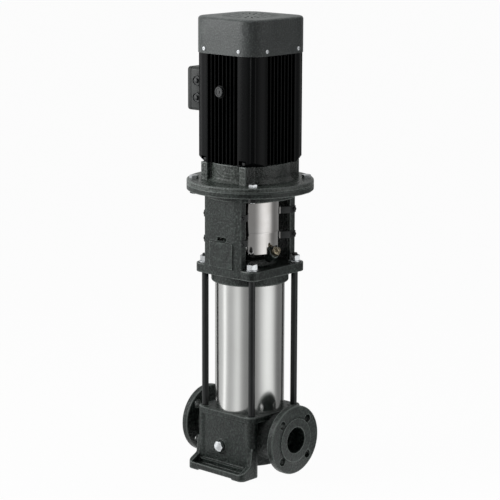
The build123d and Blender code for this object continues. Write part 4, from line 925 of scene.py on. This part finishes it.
def publish_copies(piece: Mesh, places: Sequence[Matrix], name: str, finish: Finish,
                   node: str) -> None:
    """Makes one finished piece of the copies of a mesh at given places.

    Args:
        piece: The mesh to repeat.
        places: Matrices of the copies.
        name: Name of the finished piece.
        finish: Its finish.
        node: CAD node that it stands for.
    """
    publish(PLACES.make(piece, finish, places=places), name, finish, [node])


# ---------------------------------------------------------------- pump base
@dataclass
class PumpBase:
    """In-line base casting with its drain plug. Sizes in millimetres."""

    drain_x: float = -12.0
    drain_face: float = -88.5
    drain_level: float = 62.0
    drain_hex: float = 24.0
    drain_head: float = 8.0
    drain_washer: float = 2.0

    def build(self) -> None:
        """Makes the casting and the plug."""
        publish_casting("pump_base", "base_casting", Finish.COATED_IRON)
        spot = place(self.drain_x, self.drain_face - self.drain_washer, self.drain_level,
                     spin(90, "X"))
        publish(moved(hexagon_piece(self.drain_hex, self.drain_head), spot), "drain_plug_head",
                Finish.ZINC, ["drain_plug"])


# ---------------------------------------------------------------- pressure sleeve and stay bolts
@dataclass
class PressureSleeve:
    """Rolled stainless sleeve between base and head. Sizes in millimetres."""

    radius: float = 83.0
    wall: float = 3.0
    bottom: float = 148.0
    top: float = 468.0
    edge: float = 0.8

    def build(self) -> None:
        """Makes the sleeve with broken edges."""
        inner = self.radius - self.wall
        profile = [(inner, self.bottom), (self.radius, self.bottom, self.edge),
                   (self.radius, self.top, self.edge), (inner, self.top)]
        publish(lathe(profile, FINE), "pressure_sleeve", Finish.SATIN_STAINLESS,
                ["outer_sleeve"])


@dataclass
class StayBolts:
    """Four studs with washers, nuts and cut threads. Sizes in millimetres."""

    spacing: float = 150.0
    diameter: float = 16.0
    bottom: float = 124.0
    seat: float = 501.0
    washer: float = 30.0
    washer_height: float = 3.0
    nut: float = 24.0
    nut_height: float = 13.0
    end: float = 5.0
    pitch: float = 2.0
    thread_share: float = 0.6
    crest: tuple[float, float] = (0.42, 0.58)
    nut_turn: float = 15.0

    def build(self) -> None:
        """Makes the studs, washers and nuts."""
        places = four_corners(self.spacing / 2, self.spacing / 2)
        publish_copies(self.stud(), places, "stay_studs", Finish.BLACK_OXIDE, "stay_bolts")
        bore = self.diameter / 2 + PLAY
        seat = self.seat + self.washer_height
        ring = lathe([(bore, self.seat), (self.washer / 2, self.seat, 0.5),
                      (self.washer / 2, seat, 0.8), (bore, seat)])
        publish_copies(ring, places, "stay_washer_set", Finish.ZINC, "stay_washers")
        nut = moved(hexagon_piece(self.nut, self.nut_height, bore, (True, True)),
                    place(0, 0, seat, spin(self.nut_turn)))
        publish_copies(nut, places, "stay_nut_set", Finish.ZINC, "stay_nuts")

    def stud(self) -> Mesh:
        """Plain shank with a thread of stacked rings at its upper end."""
        radius = self.diameter / 2
        top = self.seat + self.washer_height + self.nut_height + self.end
        root = radius - self.thread_share * self.pitch
        plain_top = self.seat - 3 * self.pitch
        shank = lathe([(PIN, self.bottom), (radius, self.bottom), (radius, plain_top, 0.4),
                       (root, plain_top + self.pitch), (root, top - 1.0), (root - 1.0, top),
                       (PIN, top)], 40)
        rise, fall = (share * self.pitch for share in self.crest)
        crest = lathe([(root - 0.2, 0), (radius - PLAY, rise), (radius - PLAY, fall),
                       (root - 0.2, self.pitch)], COARSE)
        thread = ROW.make(crest, Finish.BLACK_OXIDE, {
            "Count": int((top - plain_top) / self.pitch) - 2,
            "Start": (0.0, 0.0, (plain_top + self.pitch) * MM),
            "Pitch": (0.0, 0.0, self.pitch * MM)})
        return joined([shank, thread])


# ---------------------------------------------------------------- stool, guards and vent
@dataclass
class MotorStool:
    """Pump head and motor stool in one casting, with the vent. Sizes in millimetres."""

    vent_edge: float = 0.4

    def build(self) -> None:
        """Makes the casting's skin and breaks the vent's edges."""
        publish_casting("motor_stool", "stool_casting", Finish.COATED_IRON)
        publish(edged("vent_plug", self.vent_edge), "vent_body", Finish.BRASS, ["vent_plug"])
        publish(edged("vent_spindle", self.vent_edge), "vent_needle", Finish.BRASS,
                ["vent_spindle"], "vent_spindle")


@dataclass
class CouplingGuards:
    """Curved sheets over the coupling, with their tabs and screws. Sizes in millimetres."""

    edge: float = 0.3
    screw_x: float = 59.5
    screw_y: float = 90.75
    screw_levels: tuple[float, float] = (563.0, 623.0)
    screw: SocketScrew = SocketScrew(5.0, 3.0, 3.0, 2.5, 9.0)
    tab_start: float = 55.8
    reach: float = 130.0
    bottom: float = 400.0
    top: float = 800.0

    def build(self) -> None:
        """Makes both sheets, their fixing tabs and their screws."""
        middle = self.block(-self.tab_start, self.tab_start)
        ends = joined([self.block(-self.reach, -self.tab_start),
                       self.block(self.tab_start, self.reach)])
        for side in ("suction", "discharge"):
            node = f"guard_{side}_side"
            # The fixing tabs are the guards' own stainless sheet, coloured dark as painted shade.
            for taken, part, finish in ((ends, "sheet", Finish.BRIGHT_STAINLESS),
                                        (middle, "tabs", Finish.BLACK_OXIDE)):
                publish(cut(edged(node, self.edge), taken.copy()), f"guard_{part}_{side}",
                        finish, [node])
        places = [place(side * self.screw_x, y, level, spin(90 * side, "Y"))
                  for side in (-1, 1) for y in (-self.screw_y, self.screw_y)
                  for level in self.screw_levels]
        # The screws are coloured dark as painted shade.
        publish_copies(self.screw.build(), places, "guard_screw_set", Finish.BLACK_OXIDE,
                       "guard_screws")

    def block(self, low: float, high: float) -> Mesh:
        """Block that takes away what lies between two Y levels."""
        far = self.reach
        return prism([(-far, low), (far, low), (far, high), (-far, high)], self.bottom, self.top)


# ---------------------------------------------------------------- motor
@dataclass
class MotorBracket:
    """Drive-end bracket and the bolts round its flange. Sizes in millimetres."""

    flange_top: float = 702.0
    stool_flange_bottom: float = 677.0
    bolt_circle: float = 265.0
    bolt: float = 12.0
    bolt_hex: float = 19.0
    head: float = 7.8
    nut: float = 10.2
    nut_turn: float = 30.0
    grip: float = 37.0
    tie_x: float = 61.0
    tie_y: float = 84.0
    tie_seat: float = 749.0
    tie: float = 8.0
    tie_hex: float = 13.0
    tie_head: float = 6.0
    tie_length: float = 20.0

    def build(self) -> None:
        """Makes the bracket, its bolts and the housing's tie bolts."""
        publish_casting("motor_bracket", "bracket_casting", Finish.MOTOR_GREY)
        bolt = self.bolt_piece(self.bolt_hex, self.head, self.bolt / 2, self.grip)
        nut = moved(hexagon_piece(self.bolt_hex, self.nut, self.bolt / 2 + PLAY, (True, True)),
                    spin(self.nut_turn))
        # The nuts under the stool flange are coloured dark as painted shade.
        for piece, finish, level, kind in (
                (bolt, Finish.ZINC, self.flange_top, "bolt"),
                (nut, Finish.BLACK_OXIDE, self.stool_flange_bottom - self.nut, "nut")):
            ring = RING.make(piece, finish, {
                "Count": 4, "Radius": self.bolt_circle / 2 * MM, "Start angle": math.pi / 4,
                "Level": level * MM})
            publish(ring, f"flange_{kind}_set", finish, [f"flange_{kind}s"])
        tie = self.bolt_piece(self.tie_hex, self.tie_head, self.tie / 2, self.tie_length)
        publish_copies(tie, four_corners(self.tie_x, self.tie_y, self.tie_seat), "tie_bolt_set",
                       Finish.BLACK_OXIDE, "tie_bolts")

    @staticmethod
    def bolt_piece(across: float, head: float, radius: float, length: float) -> Mesh:
        """Hexagon bolt on the Z axis, head upwards from level 0.

        Args:
            across: Width of the head over its flats.
            head: Height of the head.
            radius: Radius of the shank.
            length: Length of the shank.

        Returns:
            The mesh.
        """
        shank = lathe([(PIN, -length), (radius, -length, radius / 8), (radius, 0.2), (PIN, 0.2)],
                      COARSE)
        return joined([hexagon_piece(across, head), shank])


@dataclass
class MotorHousing:
    """Finned motor housing with smooth corners and its round plug. Sizes in millimetres."""

    half: float = 96.0
    corner: float = 42.0
    core: float = 79.0
    bore: float = 70.0
    bottom: float = 745.0
    top: float = 1003.0
    chamfer: float = 9.0
    fins: int = 7
    pitch: float = 12.0
    fin: float = 3.0
    fin_root: float = 62.0
    fin_tip: tuple[tuple[float, float], ...] = ((0.85, 1.0), (0.6, 0.3), (0.0, 0.0))
    fin_foot: tuple[tuple[float, float], ...] = ((0.0, 2.0), (0.8, 0.8), (2.5, 0.0))
    lip: tuple[tuple[float, float], ...] = ((0.0, 1.5), (0.3, 0.4), (1.2, 0.0))
    arc_facets: int = 48
    arc_levels: tuple[float, ...] = (0.0, 1.5, 3.0, 5.0, 7.0, 9.0, 11.5)
    ridge: float = 10.0
    ridge_foot: float = 1.0
    ridge_side: float = 1.6
    ridge_rise: float = 2.0
    ridge_top: float = 997.0
    pocket: tuple[float, float, float] = (61.0, 84.0, 9.5)
    pocket_levels: tuple[float, float] = (749.0, 759.0)
    pad: float = 35.0
    pad_reach: float = 97.0
    pad_level: float = 907.0
    plug_x: float = -8.0
    plug_level: float = 913.0
    plug_radius: float = 12.0
    plug_height: float = 5.0
    boss_wall: float = 3.0
    boss_depth: float = 30.0

    @property
    def flank(self) -> float:
        """Where the smooth corners begin."""
        return (self.fins + 1) * self.pitch / 2 - self.fin / 2

    @property
    def plug_spot(self) -> Matrix:
        """Where the plug sits, facing out of the -Y side."""
        return place(self.plug_x, -self.half, self.plug_level, spin(90, "X"))

    def build(self) -> None:
        """Makes the housing and its plug."""
        parts = [self.barrel(), self.corners(), self.fin_set(), self.box_pad(), self.plug_boss()]
        publish(joined(parts), "finned_housing", Finish.MOTOR_BLACK, ["motor_housing"])
        publish(self.plug(), "frame_plug_cap", Finish.NYLON, ["frame_plug"])

    def barrel(self) -> Mesh:
        """Tube that carries the fins."""
        return lathe([(self.bore, self.bottom), (self.core, self.bottom), (self.core, self.top),
                      (self.bore, self.top)], 160)

    def corner_outline(self, level: float) -> np.ndarray:
        """Plan outline of the (+X, -Y) corner at a level.

        Args:
            level: The level in millimetres.

        Returns:
            The points in metres, one to a row.
        """
        centre = self.half - self.corner
        flank = self.flank
        points = [(flank, -flank)]
        points += [(flank + along, back - self.half) for along, back in self.lip]
        for step in range(self.arc_facets + 1):
            angle = -90 + 90 * step / self.arc_facets
            off = math.radians(abs(angle + 45)) * self.corner
            share = (self.ridge / 2 + self.ridge_foot - off) / self.ridge_side
            share = min(max(share, 0.0), 1.0)
            rise = self.ridge_rise * share if level <= self.ridge_top else 0.0
            reach = self.corner + rise
            points.append((centre + reach * math.cos(math.radians(angle)),
                           -centre + reach * math.sin(math.radians(angle))))
        points += [(self.half - back, -flank - along) for along, back in reversed(self.lip)]
        limit = centre * math.sqrt(2) + self.corner - self.chamfer + level - self.bottom
        rings = []
        for x, y in points:
            scale = min(1.0, limit / math.hypot(x, y))
            rings.append((x * scale, y * scale, level))
        return np.array(rings) * MM

    def corners(self) -> Mesh:
        """The four smooth corners, with the pockets over the tie bolts."""
        levels = [self.bottom + step for step in self.arc_levels]
        levels += [self.ridge_top, self.ridge_top + 0.6, self.top]
        block = from_rings([self.corner_outline(level) for level in levels], closed=False)
        blocks = round_shaft(block, Finish.MOTOR_BLACK, 4)
        x, y, half = self.pocket
        cutters = []
        for side_x in (-1, 1):
            for side_y in (-1, 1):
                near, far = side_y * (y - half), side_y * (y + 3 * half)
                outline = [(side_x * x - half, near), (side_x * x + half, near),
                           (side_x * x + half, far), (side_x * x - half, far)]
                cutters.append(prism(outline, *self.pocket_levels))
        return cut(blocks, joined(cutters))

    def fin_set(self) -> Mesh:
        """Fins of the four faces: a row repeated round the shaft."""
        thick, tips = self.fin / 2, self.fin_tip
        outline = [(-share, back) for share, back in tips] + list(tips[-2::-1])
        rings = []
        for level, back in (*self.fin_foot, (self.top - self.bottom, 0.0)):
            points = [(thick, -self.fin_root), (-thick, -self.fin_root)]
            points += [(share * thick, back - self.half + rise) for share, rise in outline]
            rings.append(np.array([(x, y, self.bottom + level) for x, y in points]) * MM)
        row = ROW.make(from_rings(rings, closed=False), Finish.MOTOR_BLACK, {
            "Count": self.fins, "Start": (-(self.fins - 1) / 2 * self.pitch * MM, 0.0, 0.0),
            "Pitch": (self.pitch * MM, 0.0, 0.0)})
        return round_shaft(row, Finish.MOTOR_BLACK, 4)

    def box_pad(self) -> Mesh:
        """Pad between the housing and the terminal box."""
        outline = [(-self.core * 0.9, -self.pad), (-self.core * 0.9, self.pad),
                   (-self.pad_reach, self.pad), (-self.pad_reach, -self.pad)]
        return prism(outline, self.pad_level - self.pad, self.pad_level + self.pad)

    def plug_boss(self) -> Mesh:
        """Round boss behind the plug."""
        reach, depth = self.plug_radius + self.boss_wall, -self.boss_depth
        return moved(lathe([(PIN, depth), (reach, depth), (reach, 0.0, 0.6), (PIN, 0.0)]),
                     self.plug_spot)

    def plug(self) -> Mesh:
        """Round plug with a dished face and a raised middle."""
        radius, height = self.plug_radius, self.plug_height
        disc = lathe([(PIN, 0.0), (radius, 0.0), (radius, height, 1.2),
                      (0.72 * radius, height, 0.4), (0.66 * radius, height - 1.2),
                      (0.3 * radius, height - 1.2), (0.26 * radius, height, 0.3), (PIN, height)])
        return moved(disc, self.plug_spot)


@dataclass
class FanCover:
    """Pressed fan cover with its grille and screws. Sizes in millimetres."""

    half: float = 99.7
    corner: float = 45.7
    bottom: float = 999.0
    top: float = 1083.0
    wall: float = 2.5
    edge: float = 7.0
    slot: float = 4.0
    rings: tuple[tuple[float, float, int], ...] = ((24.0, 42.0, 12), (47.0, 68.0, 24))
    screw_x: float = 54.0
    screw_level: float = 1010.0
    screw: SocketScrew = SocketScrew(5.0, 2.5, 3.0, 2.5, 8.0)
    facets: int = 14
    edge_facets: int = 8

    def build(self) -> None:
        """Makes the cover and its screws."""
        shell = cut(self.block(0.0, self.bottom), self.block(self.wall, self.bottom - 5))
        slots = [round_shaft(self.slot_cutter(near, far), Finish.POWDER_COAT, count)
                 for near, far, count in self.rings]
        publish(cut(shell, joined(slots)), "pressed_fan_cover", Finish.POWDER_COAT,
                ["fan_cover"], smooth_angle=30.0)
        places = [spin(turn) @ place(x, -self.half, self.screw_level, spin(90, "X"))
                  for turn in (0, 90, 180, 270) for x in (-self.screw_x, self.screw_x)]
        publish_copies(self.screw.build(), places, "cover_screw_set", Finish.ZINC, "cover_screws")

    def block(self, inset: float, bottom: float) -> Mesh:
        """Rounded block inside the cover's outline.

        Args:
            inset: How far its sides and top lie inside the cover's.
            bottom: Its lower level.

        Returns:
            The closed mesh.
        """
        half, corner, edge = self.half - inset, self.corner - inset, self.edge - inset
        top = self.top - inset
        steps = [(0.3, bottom), (0.0, bottom + 0.4)]
        for step in range(self.edge_facets + 1):
            angle = math.pi / 2 * step / self.edge_facets
            steps.append((edge - edge * math.cos(angle), top - edge + edge * math.sin(angle)))
        return from_rings([square_ring(half - back, half - back, corner - back, level,
                                       self.facets) for back, level in steps], closed=False)

    def slot_cutter(self, near: float, far: float) -> Mesh:
        """Round-ended slot through the top, along +X.

        Args:
            near: Where it starts, from the shaft.
            far: Where it ends.

        Returns:
            The closed mesh.
        """
        radius = self.slot / 2
        outline = [(middle + side * radius * math.cos(math.radians(angle)),
                    side * radius * math.sin(math.radians(angle)))
                   for side, middle in ((1, far - radius), (-1, near + radius))
                   for angle in range(-90, 91, 30)]
        return prism(outline, self.top - 3 * self.wall, self.top + 3)


@dataclass
class TerminalBox:
    """Terminal box with lid, lid screws and blind entries. Sizes in millimetres."""

    seat: float = 97.0
    lid_back: float = 138.0
    reach: float = 150.0
    gasket: float = 1.0
    half_width: float = 58.0
    half_height: float = 51.5
    corner: float = 8.0
    level: float = 907.0
    rim: float = 3.5
    field: tuple[float, float, float, float] = (16.5, 17.0, 17.6, 22.0)
    screw: SocketScrew = SocketScrew(4.0, 2.4, 2.5, 2.0, 12.0)
    screw_spot: tuple[float, float] = (49.0, 42.5)
    screw_sink: float = 2.5
    screw_seat: float = 4.6
    entry_x: float = -117.0
    entry_spacing: float = 40.0
    entry_radius: float = 12.5
    entry_height: float = 4.0
    entry_sink: float = 1.6
    entry_depth: float = 7.0
    entry_hex: float = 11.0
    entry_head: float = 5.0

    @property
    def stance(self) -> Matrix:
        """Turns a piece built along +Z so that it points out of the -X side."""
        turn = Matrix(((0, 0, -1, 0), (-1, 0, 0, 0), (0, 1, 0, 0), (0, 0, 0, 1)))
        return place(0, 0, self.level, turn)

    def build(self) -> None:
        """Makes the box, the lid, the screws and the entries."""
        body = self.stack(((0.8, self.seat), (0.4, self.seat + 0.6), (0.0, self.lid_back - 4),
                           (0.0, self.lid_back - self.gasket - 0.8),
                           (0.8, self.lid_back - self.gasket)))
        publish(moved(body, self.stance), "terminal_box_body", Finish.BOX_GREY, ["terminal_box"])
        publish(moved(self.lid(), self.stance), "terminal_box_lid", Finish.BOX_GREY,
                ["terminal_lid"])
        places = [self.stance @ spot
                  for spot in four_corners(*self.screw_spot, self.reach - self.screw_sink)]
        publish_copies(self.screw.build(), places, "lid_screw_set", Finish.ZINC, "lid_screws")
        self.entries()

    def stack(self, steps: Sequence[tuple[float, float]]) -> Mesh:
        """Rounded block given by (inset, level) steps."""
        return from_rings([square_ring(self.half_width - inset, self.half_height - inset,
                                       max(self.corner - inset, 1.0), level)
                           for inset, level in steps], closed=False)

    def lid(self) -> Mesh:
        """Lid with a rounded rim, a raised field and sunk screw seats."""
        face, rim = self.reach - 0.9, self.rim
        steps = [(0.7, self.lid_back), (0.0, self.lid_back + 0.7)]
        steps += [(rim - rim * math.cos(math.radians(angle)),
                   face - rim + rim * math.sin(math.radians(angle))) for angle in range(0, 91, 15)]
        steps += zip(self.field, (face, face + 0.2, self.reach, self.reach))
        low, high = self.reach - self.screw_sink, self.reach + 2
        seat = lathe([(PIN, low), (self.screw_seat, low), (self.screw_seat, high), (PIN, high)],
                     COARSE)
        cutters = [moved(seat, spot) for spot in four_corners(*self.screw_spot)]
        return cut(self.stack(steps), joined(cutters))

    def entries(self) -> None:
        """Makes two blind plugs: a collar, a sunk face and a hexagon."""
        radius, height, face = self.entry_radius, self.entry_height, self.entry_sink
        collar = lathe([(PIN, -self.entry_depth), (radius - 3, -self.entry_depth),
                        (radius - 3, 0.0), (radius, 0.0), (radius, height, 1.0),
                        (radius - 2.2, height, 0.5), (radius - 2.8, face), (PIN, face)])
        head = moved(hexagon_piece(self.entry_hex, self.entry_head), place(0, 0, face))
        places = [place(self.entry_x, -self.half_width, self.level + step * self.entry_spacing / 2,
                        spin(90, "X")) for step in (-1, 1)]
        publish_copies(joined([collar, head]), places, "blind_entries", Finish.NYLON,
                       "entry_plugs")


# ---------------------------------------------------------------- studio
@dataclass(frozen=True)
class Lamp:
    """A soft lamp, aimed at the shaft. Metres, degrees and watts.

    Attributes:
        name: Its name.
        azimuth: Side it stands on; 0 faces the drain plug.
        level: Its height above the floor.
        distance: How far it stands from the shaft.
        size: Its width and height.
        power: Its power.
        mirrored: Whether glossy surfaces show it.
    """

    name: str
    azimuth: float
    level: float
    distance: float
    size: tuple[float, float]
    power: float
    mirrored: bool = False


@dataclass
class Studio:
    """Camera, lamps, floor, reflection tent and world. Sizes in metres, angles in degrees."""

    target: tuple[float, float, float] = (0.0, 0.0, 0.5285)
    azimuth: float = 42.4
    elevation: float = 11.7
    roll: float = 0.2
    distance: float = 4.7
    lens: float = 142.7
    sensor: float = 36.0
    sight: float = 100.0
    floor_half: float = 30.0
    floor_tone: float = 0.8
    floor_glow: float = 0.97
    sky: float = 0.035
    sky_tone: tuple[float, float, float, float] = (0.95, 0.98, 1.0, 1.0)
    tent: tuple[tuple[float, float], ...] = ((0.17, 0.002), (1.0, 0.10), (1.05, 0.5), (1.05, 2.2))
    # Brightness round the tent: a narrow bright gap at the left, a broad soft one at the right,
    # a dark card round the camera and grey cloth behind. Azimuth 0 faces the drain plug.
    stripes: tuple[tuple[float, float], ...] = (
        (-180, 0.20), (-140, 0.34), (-103, 0.42), (-80, 0.42), (-64, 0.48), (-52, 0.58),
        (-48, 1.00), (-41, 1.00), (-36, 0.55), (-26, 0.40), (-18, 0.40), (-10, 0.48), (-3, 0.60),
        (4, 0.66), (10, 0.58), (17, 0.36), (25, 0.24), (40, 0.18), (60, 0.19), (70, 0.30),
        (80, 0.52), (90, 0.72), (100, 0.80), (110, 0.76), (119, 0.64), (127, 0.42), (135, 0.20),
        (146, 0.13), (165, 0.16), (180, 0.20))
    tent_strength: float = 1.4
    tent_sides: int = 96
    aim_level: float = 0.55
    lamp_set: tuple[Lamp, ...] = (
        Lamp("key", -36.0, 1.35, 1.9, (0.9, 0.9), 24.0, True),
        Lamp("top", -150.0, 2.30, 0.25, (1.0, 1.0), 11.0),
        Lamp("strip", 104.0, 0.08, 0.9, (0.3, 0.4), 2.4))

    def build(self) -> None:
        """Sets up the studio."""
        self.camera()
        self.floor()
        self.reflections()
        self.world()
        self.lamps()

    def camera(self) -> None:
        """Makes the camera and points it at the pump."""
        data = bpy.data.cameras.new("camera")
        data.lens = self.lens
        data.sensor_width = self.sensor
        data.clip_end = self.sight
        camera = new_object("camera", data)
        target = Vector(self.target)
        camera.location = target + self.direction(self.azimuth, self.elevation) * self.distance
        aim = (target - camera.location).to_track_quat("-Z", "Y").to_matrix().to_4x4()
        camera.rotation_euler = (aim @ spin(self.roll)).to_euler()
        bpy.context.scene.camera = camera

    @staticmethod
    def direction(azimuth: float, elevation: float) -> Vector:
        """Unit vector from the pump.

        Args:
            azimuth: Degrees round the shaft; 0 faces the drain plug, 90 the discharge flange.
            elevation: Degrees above the floor.

        Returns:
            The vector.
        """
        flat, rise = math.radians(azimuth), math.radians(elevation)
        return Vector((math.sin(flat) * math.cos(rise), -math.cos(flat) * math.cos(rise),
                       math.sin(rise)))

    def floor(self) -> None:
        """Makes a pale floor that keeps the pump's soft shadow."""
        half = self.floor_half
        mesh = bpy.data.meshes.new("floor")
        mesh.from_pydata([(-half, -half, 0), (half, -half, 0), (half, half, 0), (-half, half, 0)],
                         [], [(0, 1, 2, 3)])
        floor = new_object("floor", mesh)
        material = bpy.data.materials.new("studio_floor")
        tree = empty_tree(material)
        matte = add_node(tree, "ShaderNodeBsdfDiffuse", inputs={
            "Color": (self.floor_tone, self.floor_tone, self.floor_tone, 1.0)})
        glow = add_node(tree, "ShaderNodeEmission", inputs={"Strength": 1.0})
        share = add_node(tree, "ShaderNodeMath", {"operation": "MULTIPLY"}, {
            0: self.seen_rays(tree), 1: self.floor_glow})
        mixed = add_node(tree, "ShaderNodeMixShader", inputs={
            0: share.outputs[0], 1: matte.outputs[0], 2: glow.outputs[0]})
        add_node(tree, "ShaderNodeOutputMaterial", inputs={"Surface": mixed.outputs[0]})
        mesh.materials.append(material)

    @staticmethod
    def seen_rays(tree: NodeTree) -> NodeSocket:
        """Tells camera, glossy and transmission rays from the others.

        Args:
            tree: The tree of a material or world.

        Returns:
            Socket that is 1 for those rays and 0 for the others.
        """
        path = add_node(tree, "ShaderNodeLightPath")
        first = add_node(tree, "ShaderNodeMath", {"operation": "MAXIMUM"}, {
            0: path.outputs["Is Camera Ray"], 1: path.outputs["Is Glossy Ray"]})
        return add_node(tree, "ShaderNodeMath", {"operation": "MAXIMUM"}, {
            0: first.outputs[0], 1: path.outputs["Is Transmission Ray"]}).outputs[0]

    def reflections(self) -> None:
        """Makes the tent of light and dark cloth that only shows in reflections."""
        sides = self.tent_sides
        angles = round_angles(sides)
        rows = [circle(radius / MM, level / MM, angles) for radius, level in self.tent]
        faces = [(row * sides + step, row * sides + (step + 1) % sides,
                  (row + 1) * sides + (step + 1) % sides, (row + 1) * sides + step)
                 for row in range(len(rows) - 1) for step in range(sides)]
        mesh = bpy.data.meshes.new("reflection_tent")
        mesh.from_pydata(np.concatenate(rows).tolist(), [], faces)
        tent = new_object("reflection_tent", mesh)
        material = bpy.data.materials.new("tent_cloth")
        tree = empty_tree(material)
        coords = add_node(tree, "ShaderNodeTexCoord").outputs["Object"]
        parts = add_node(tree, "ShaderNodeSeparateXYZ", inputs={0: coords})
        depth = add_node(tree, "ShaderNodeMath", {"operation": "MULTIPLY"}, {
            0: parts.outputs["Y"], 1: -1.0})
        angle = add_node(tree, "ShaderNodeMath", {"operation": "ARCTAN2"}, {
            0: parts.outputs["X"], 1: depth.outputs[0]})
        share = add_node(tree, "ShaderNodeMapRange", inputs={
            "Value": angle.outputs[0], "From Min": -math.pi, "From Max": math.pi})
        ramp = add_node(tree, "ShaderNodeValToRGB", inputs={"Fac": share.outputs[0]})
        stops = ramp.color_ramp.elements
        for index, (azimuth, level) in enumerate(self.stripes):
            spot = (azimuth + 180) / 360
            stop = stops[index] if index < 2 else stops.new(spot)
            stop.position = spot
            stop.color = (level, level, level, 1.0)
        glow = add_node(tree, "ShaderNodeEmission", inputs={
            "Color": ramp.outputs[0], "Strength": self.tent_strength})
        add_node(tree, "ShaderNodeOutputMaterial", inputs={"Surface": glow.outputs[0]})
        mesh.materials.append(material)
        for rays in ("camera", "diffuse", "shadow", "transmission"):
            setattr(tent, "visible_" + rays, False)

    def world(self) -> None:
        """White backdrop with a weaker sky for the light that falls on the pump."""
        world = bpy.data.worlds.new("studio")
        tree = empty_tree(world)
        sky = add_node(tree, "ShaderNodeBackground", inputs={
            "Color": self.sky_tone, "Strength": self.sky})
        back = add_node(tree, "ShaderNodeBackground", inputs={
            "Color": (1.0, 1.0, 1.0, 1.0), "Strength": 1.0})
        mixed = add_node(tree, "ShaderNodeMixShader", inputs={
            0: self.seen_rays(tree), 1: sky.outputs[0], 2: back.outputs[0]})
        add_node(tree, "ShaderNodeOutputWorld", inputs={"Surface": mixed.outputs[0]})
        bpy.context.scene.world = world

    def lamps(self) -> None:
        """Soft lamps: a key at the left front, one overhead, a weak low strip at the right."""
        for lamp in self.lamp_set:
            data = bpy.data.lights.new(lamp.name, "AREA")
            data.shape = "RECTANGLE"
            data.size, data.size_y = lamp.size
            data.energy = lamp.power
            obj = new_object(lamp.name, data)
            obj.visible_glossy = lamp.mirrored
            obj.location = (self.direction(lamp.azimuth, 0.0) * lamp.distance
                            + Vector((0, 0, lamp.level)))
            aim = Vector((0.0, 0.0, (self.aim_level + lamp.level) / 2)) - obj.location
            obj.rotation_euler = aim.to_track_quat("-Z", "Y").to_euler()


def main() -> None:
    """Builds the pump's pieces and the studio."""
    logging.basicConfig(level=logging.INFO, format="%(name)s: %(message)s")
    PALETTE.dress_nodes()
    for assembly in (PumpBase(), PressureSleeve(), StayBolts(), MotorStool(), CouplingGuards(),
                     MotorBracket(), MotorHousing(), FanCover(), TerminalBox(), Studio()):
        assembly.build()
        LOG.info("%s done", type(assembly).__name__)
    bpy.context.scene.view_settings.view_transform = "Standard"


if __name__ == "__main__":
    main()
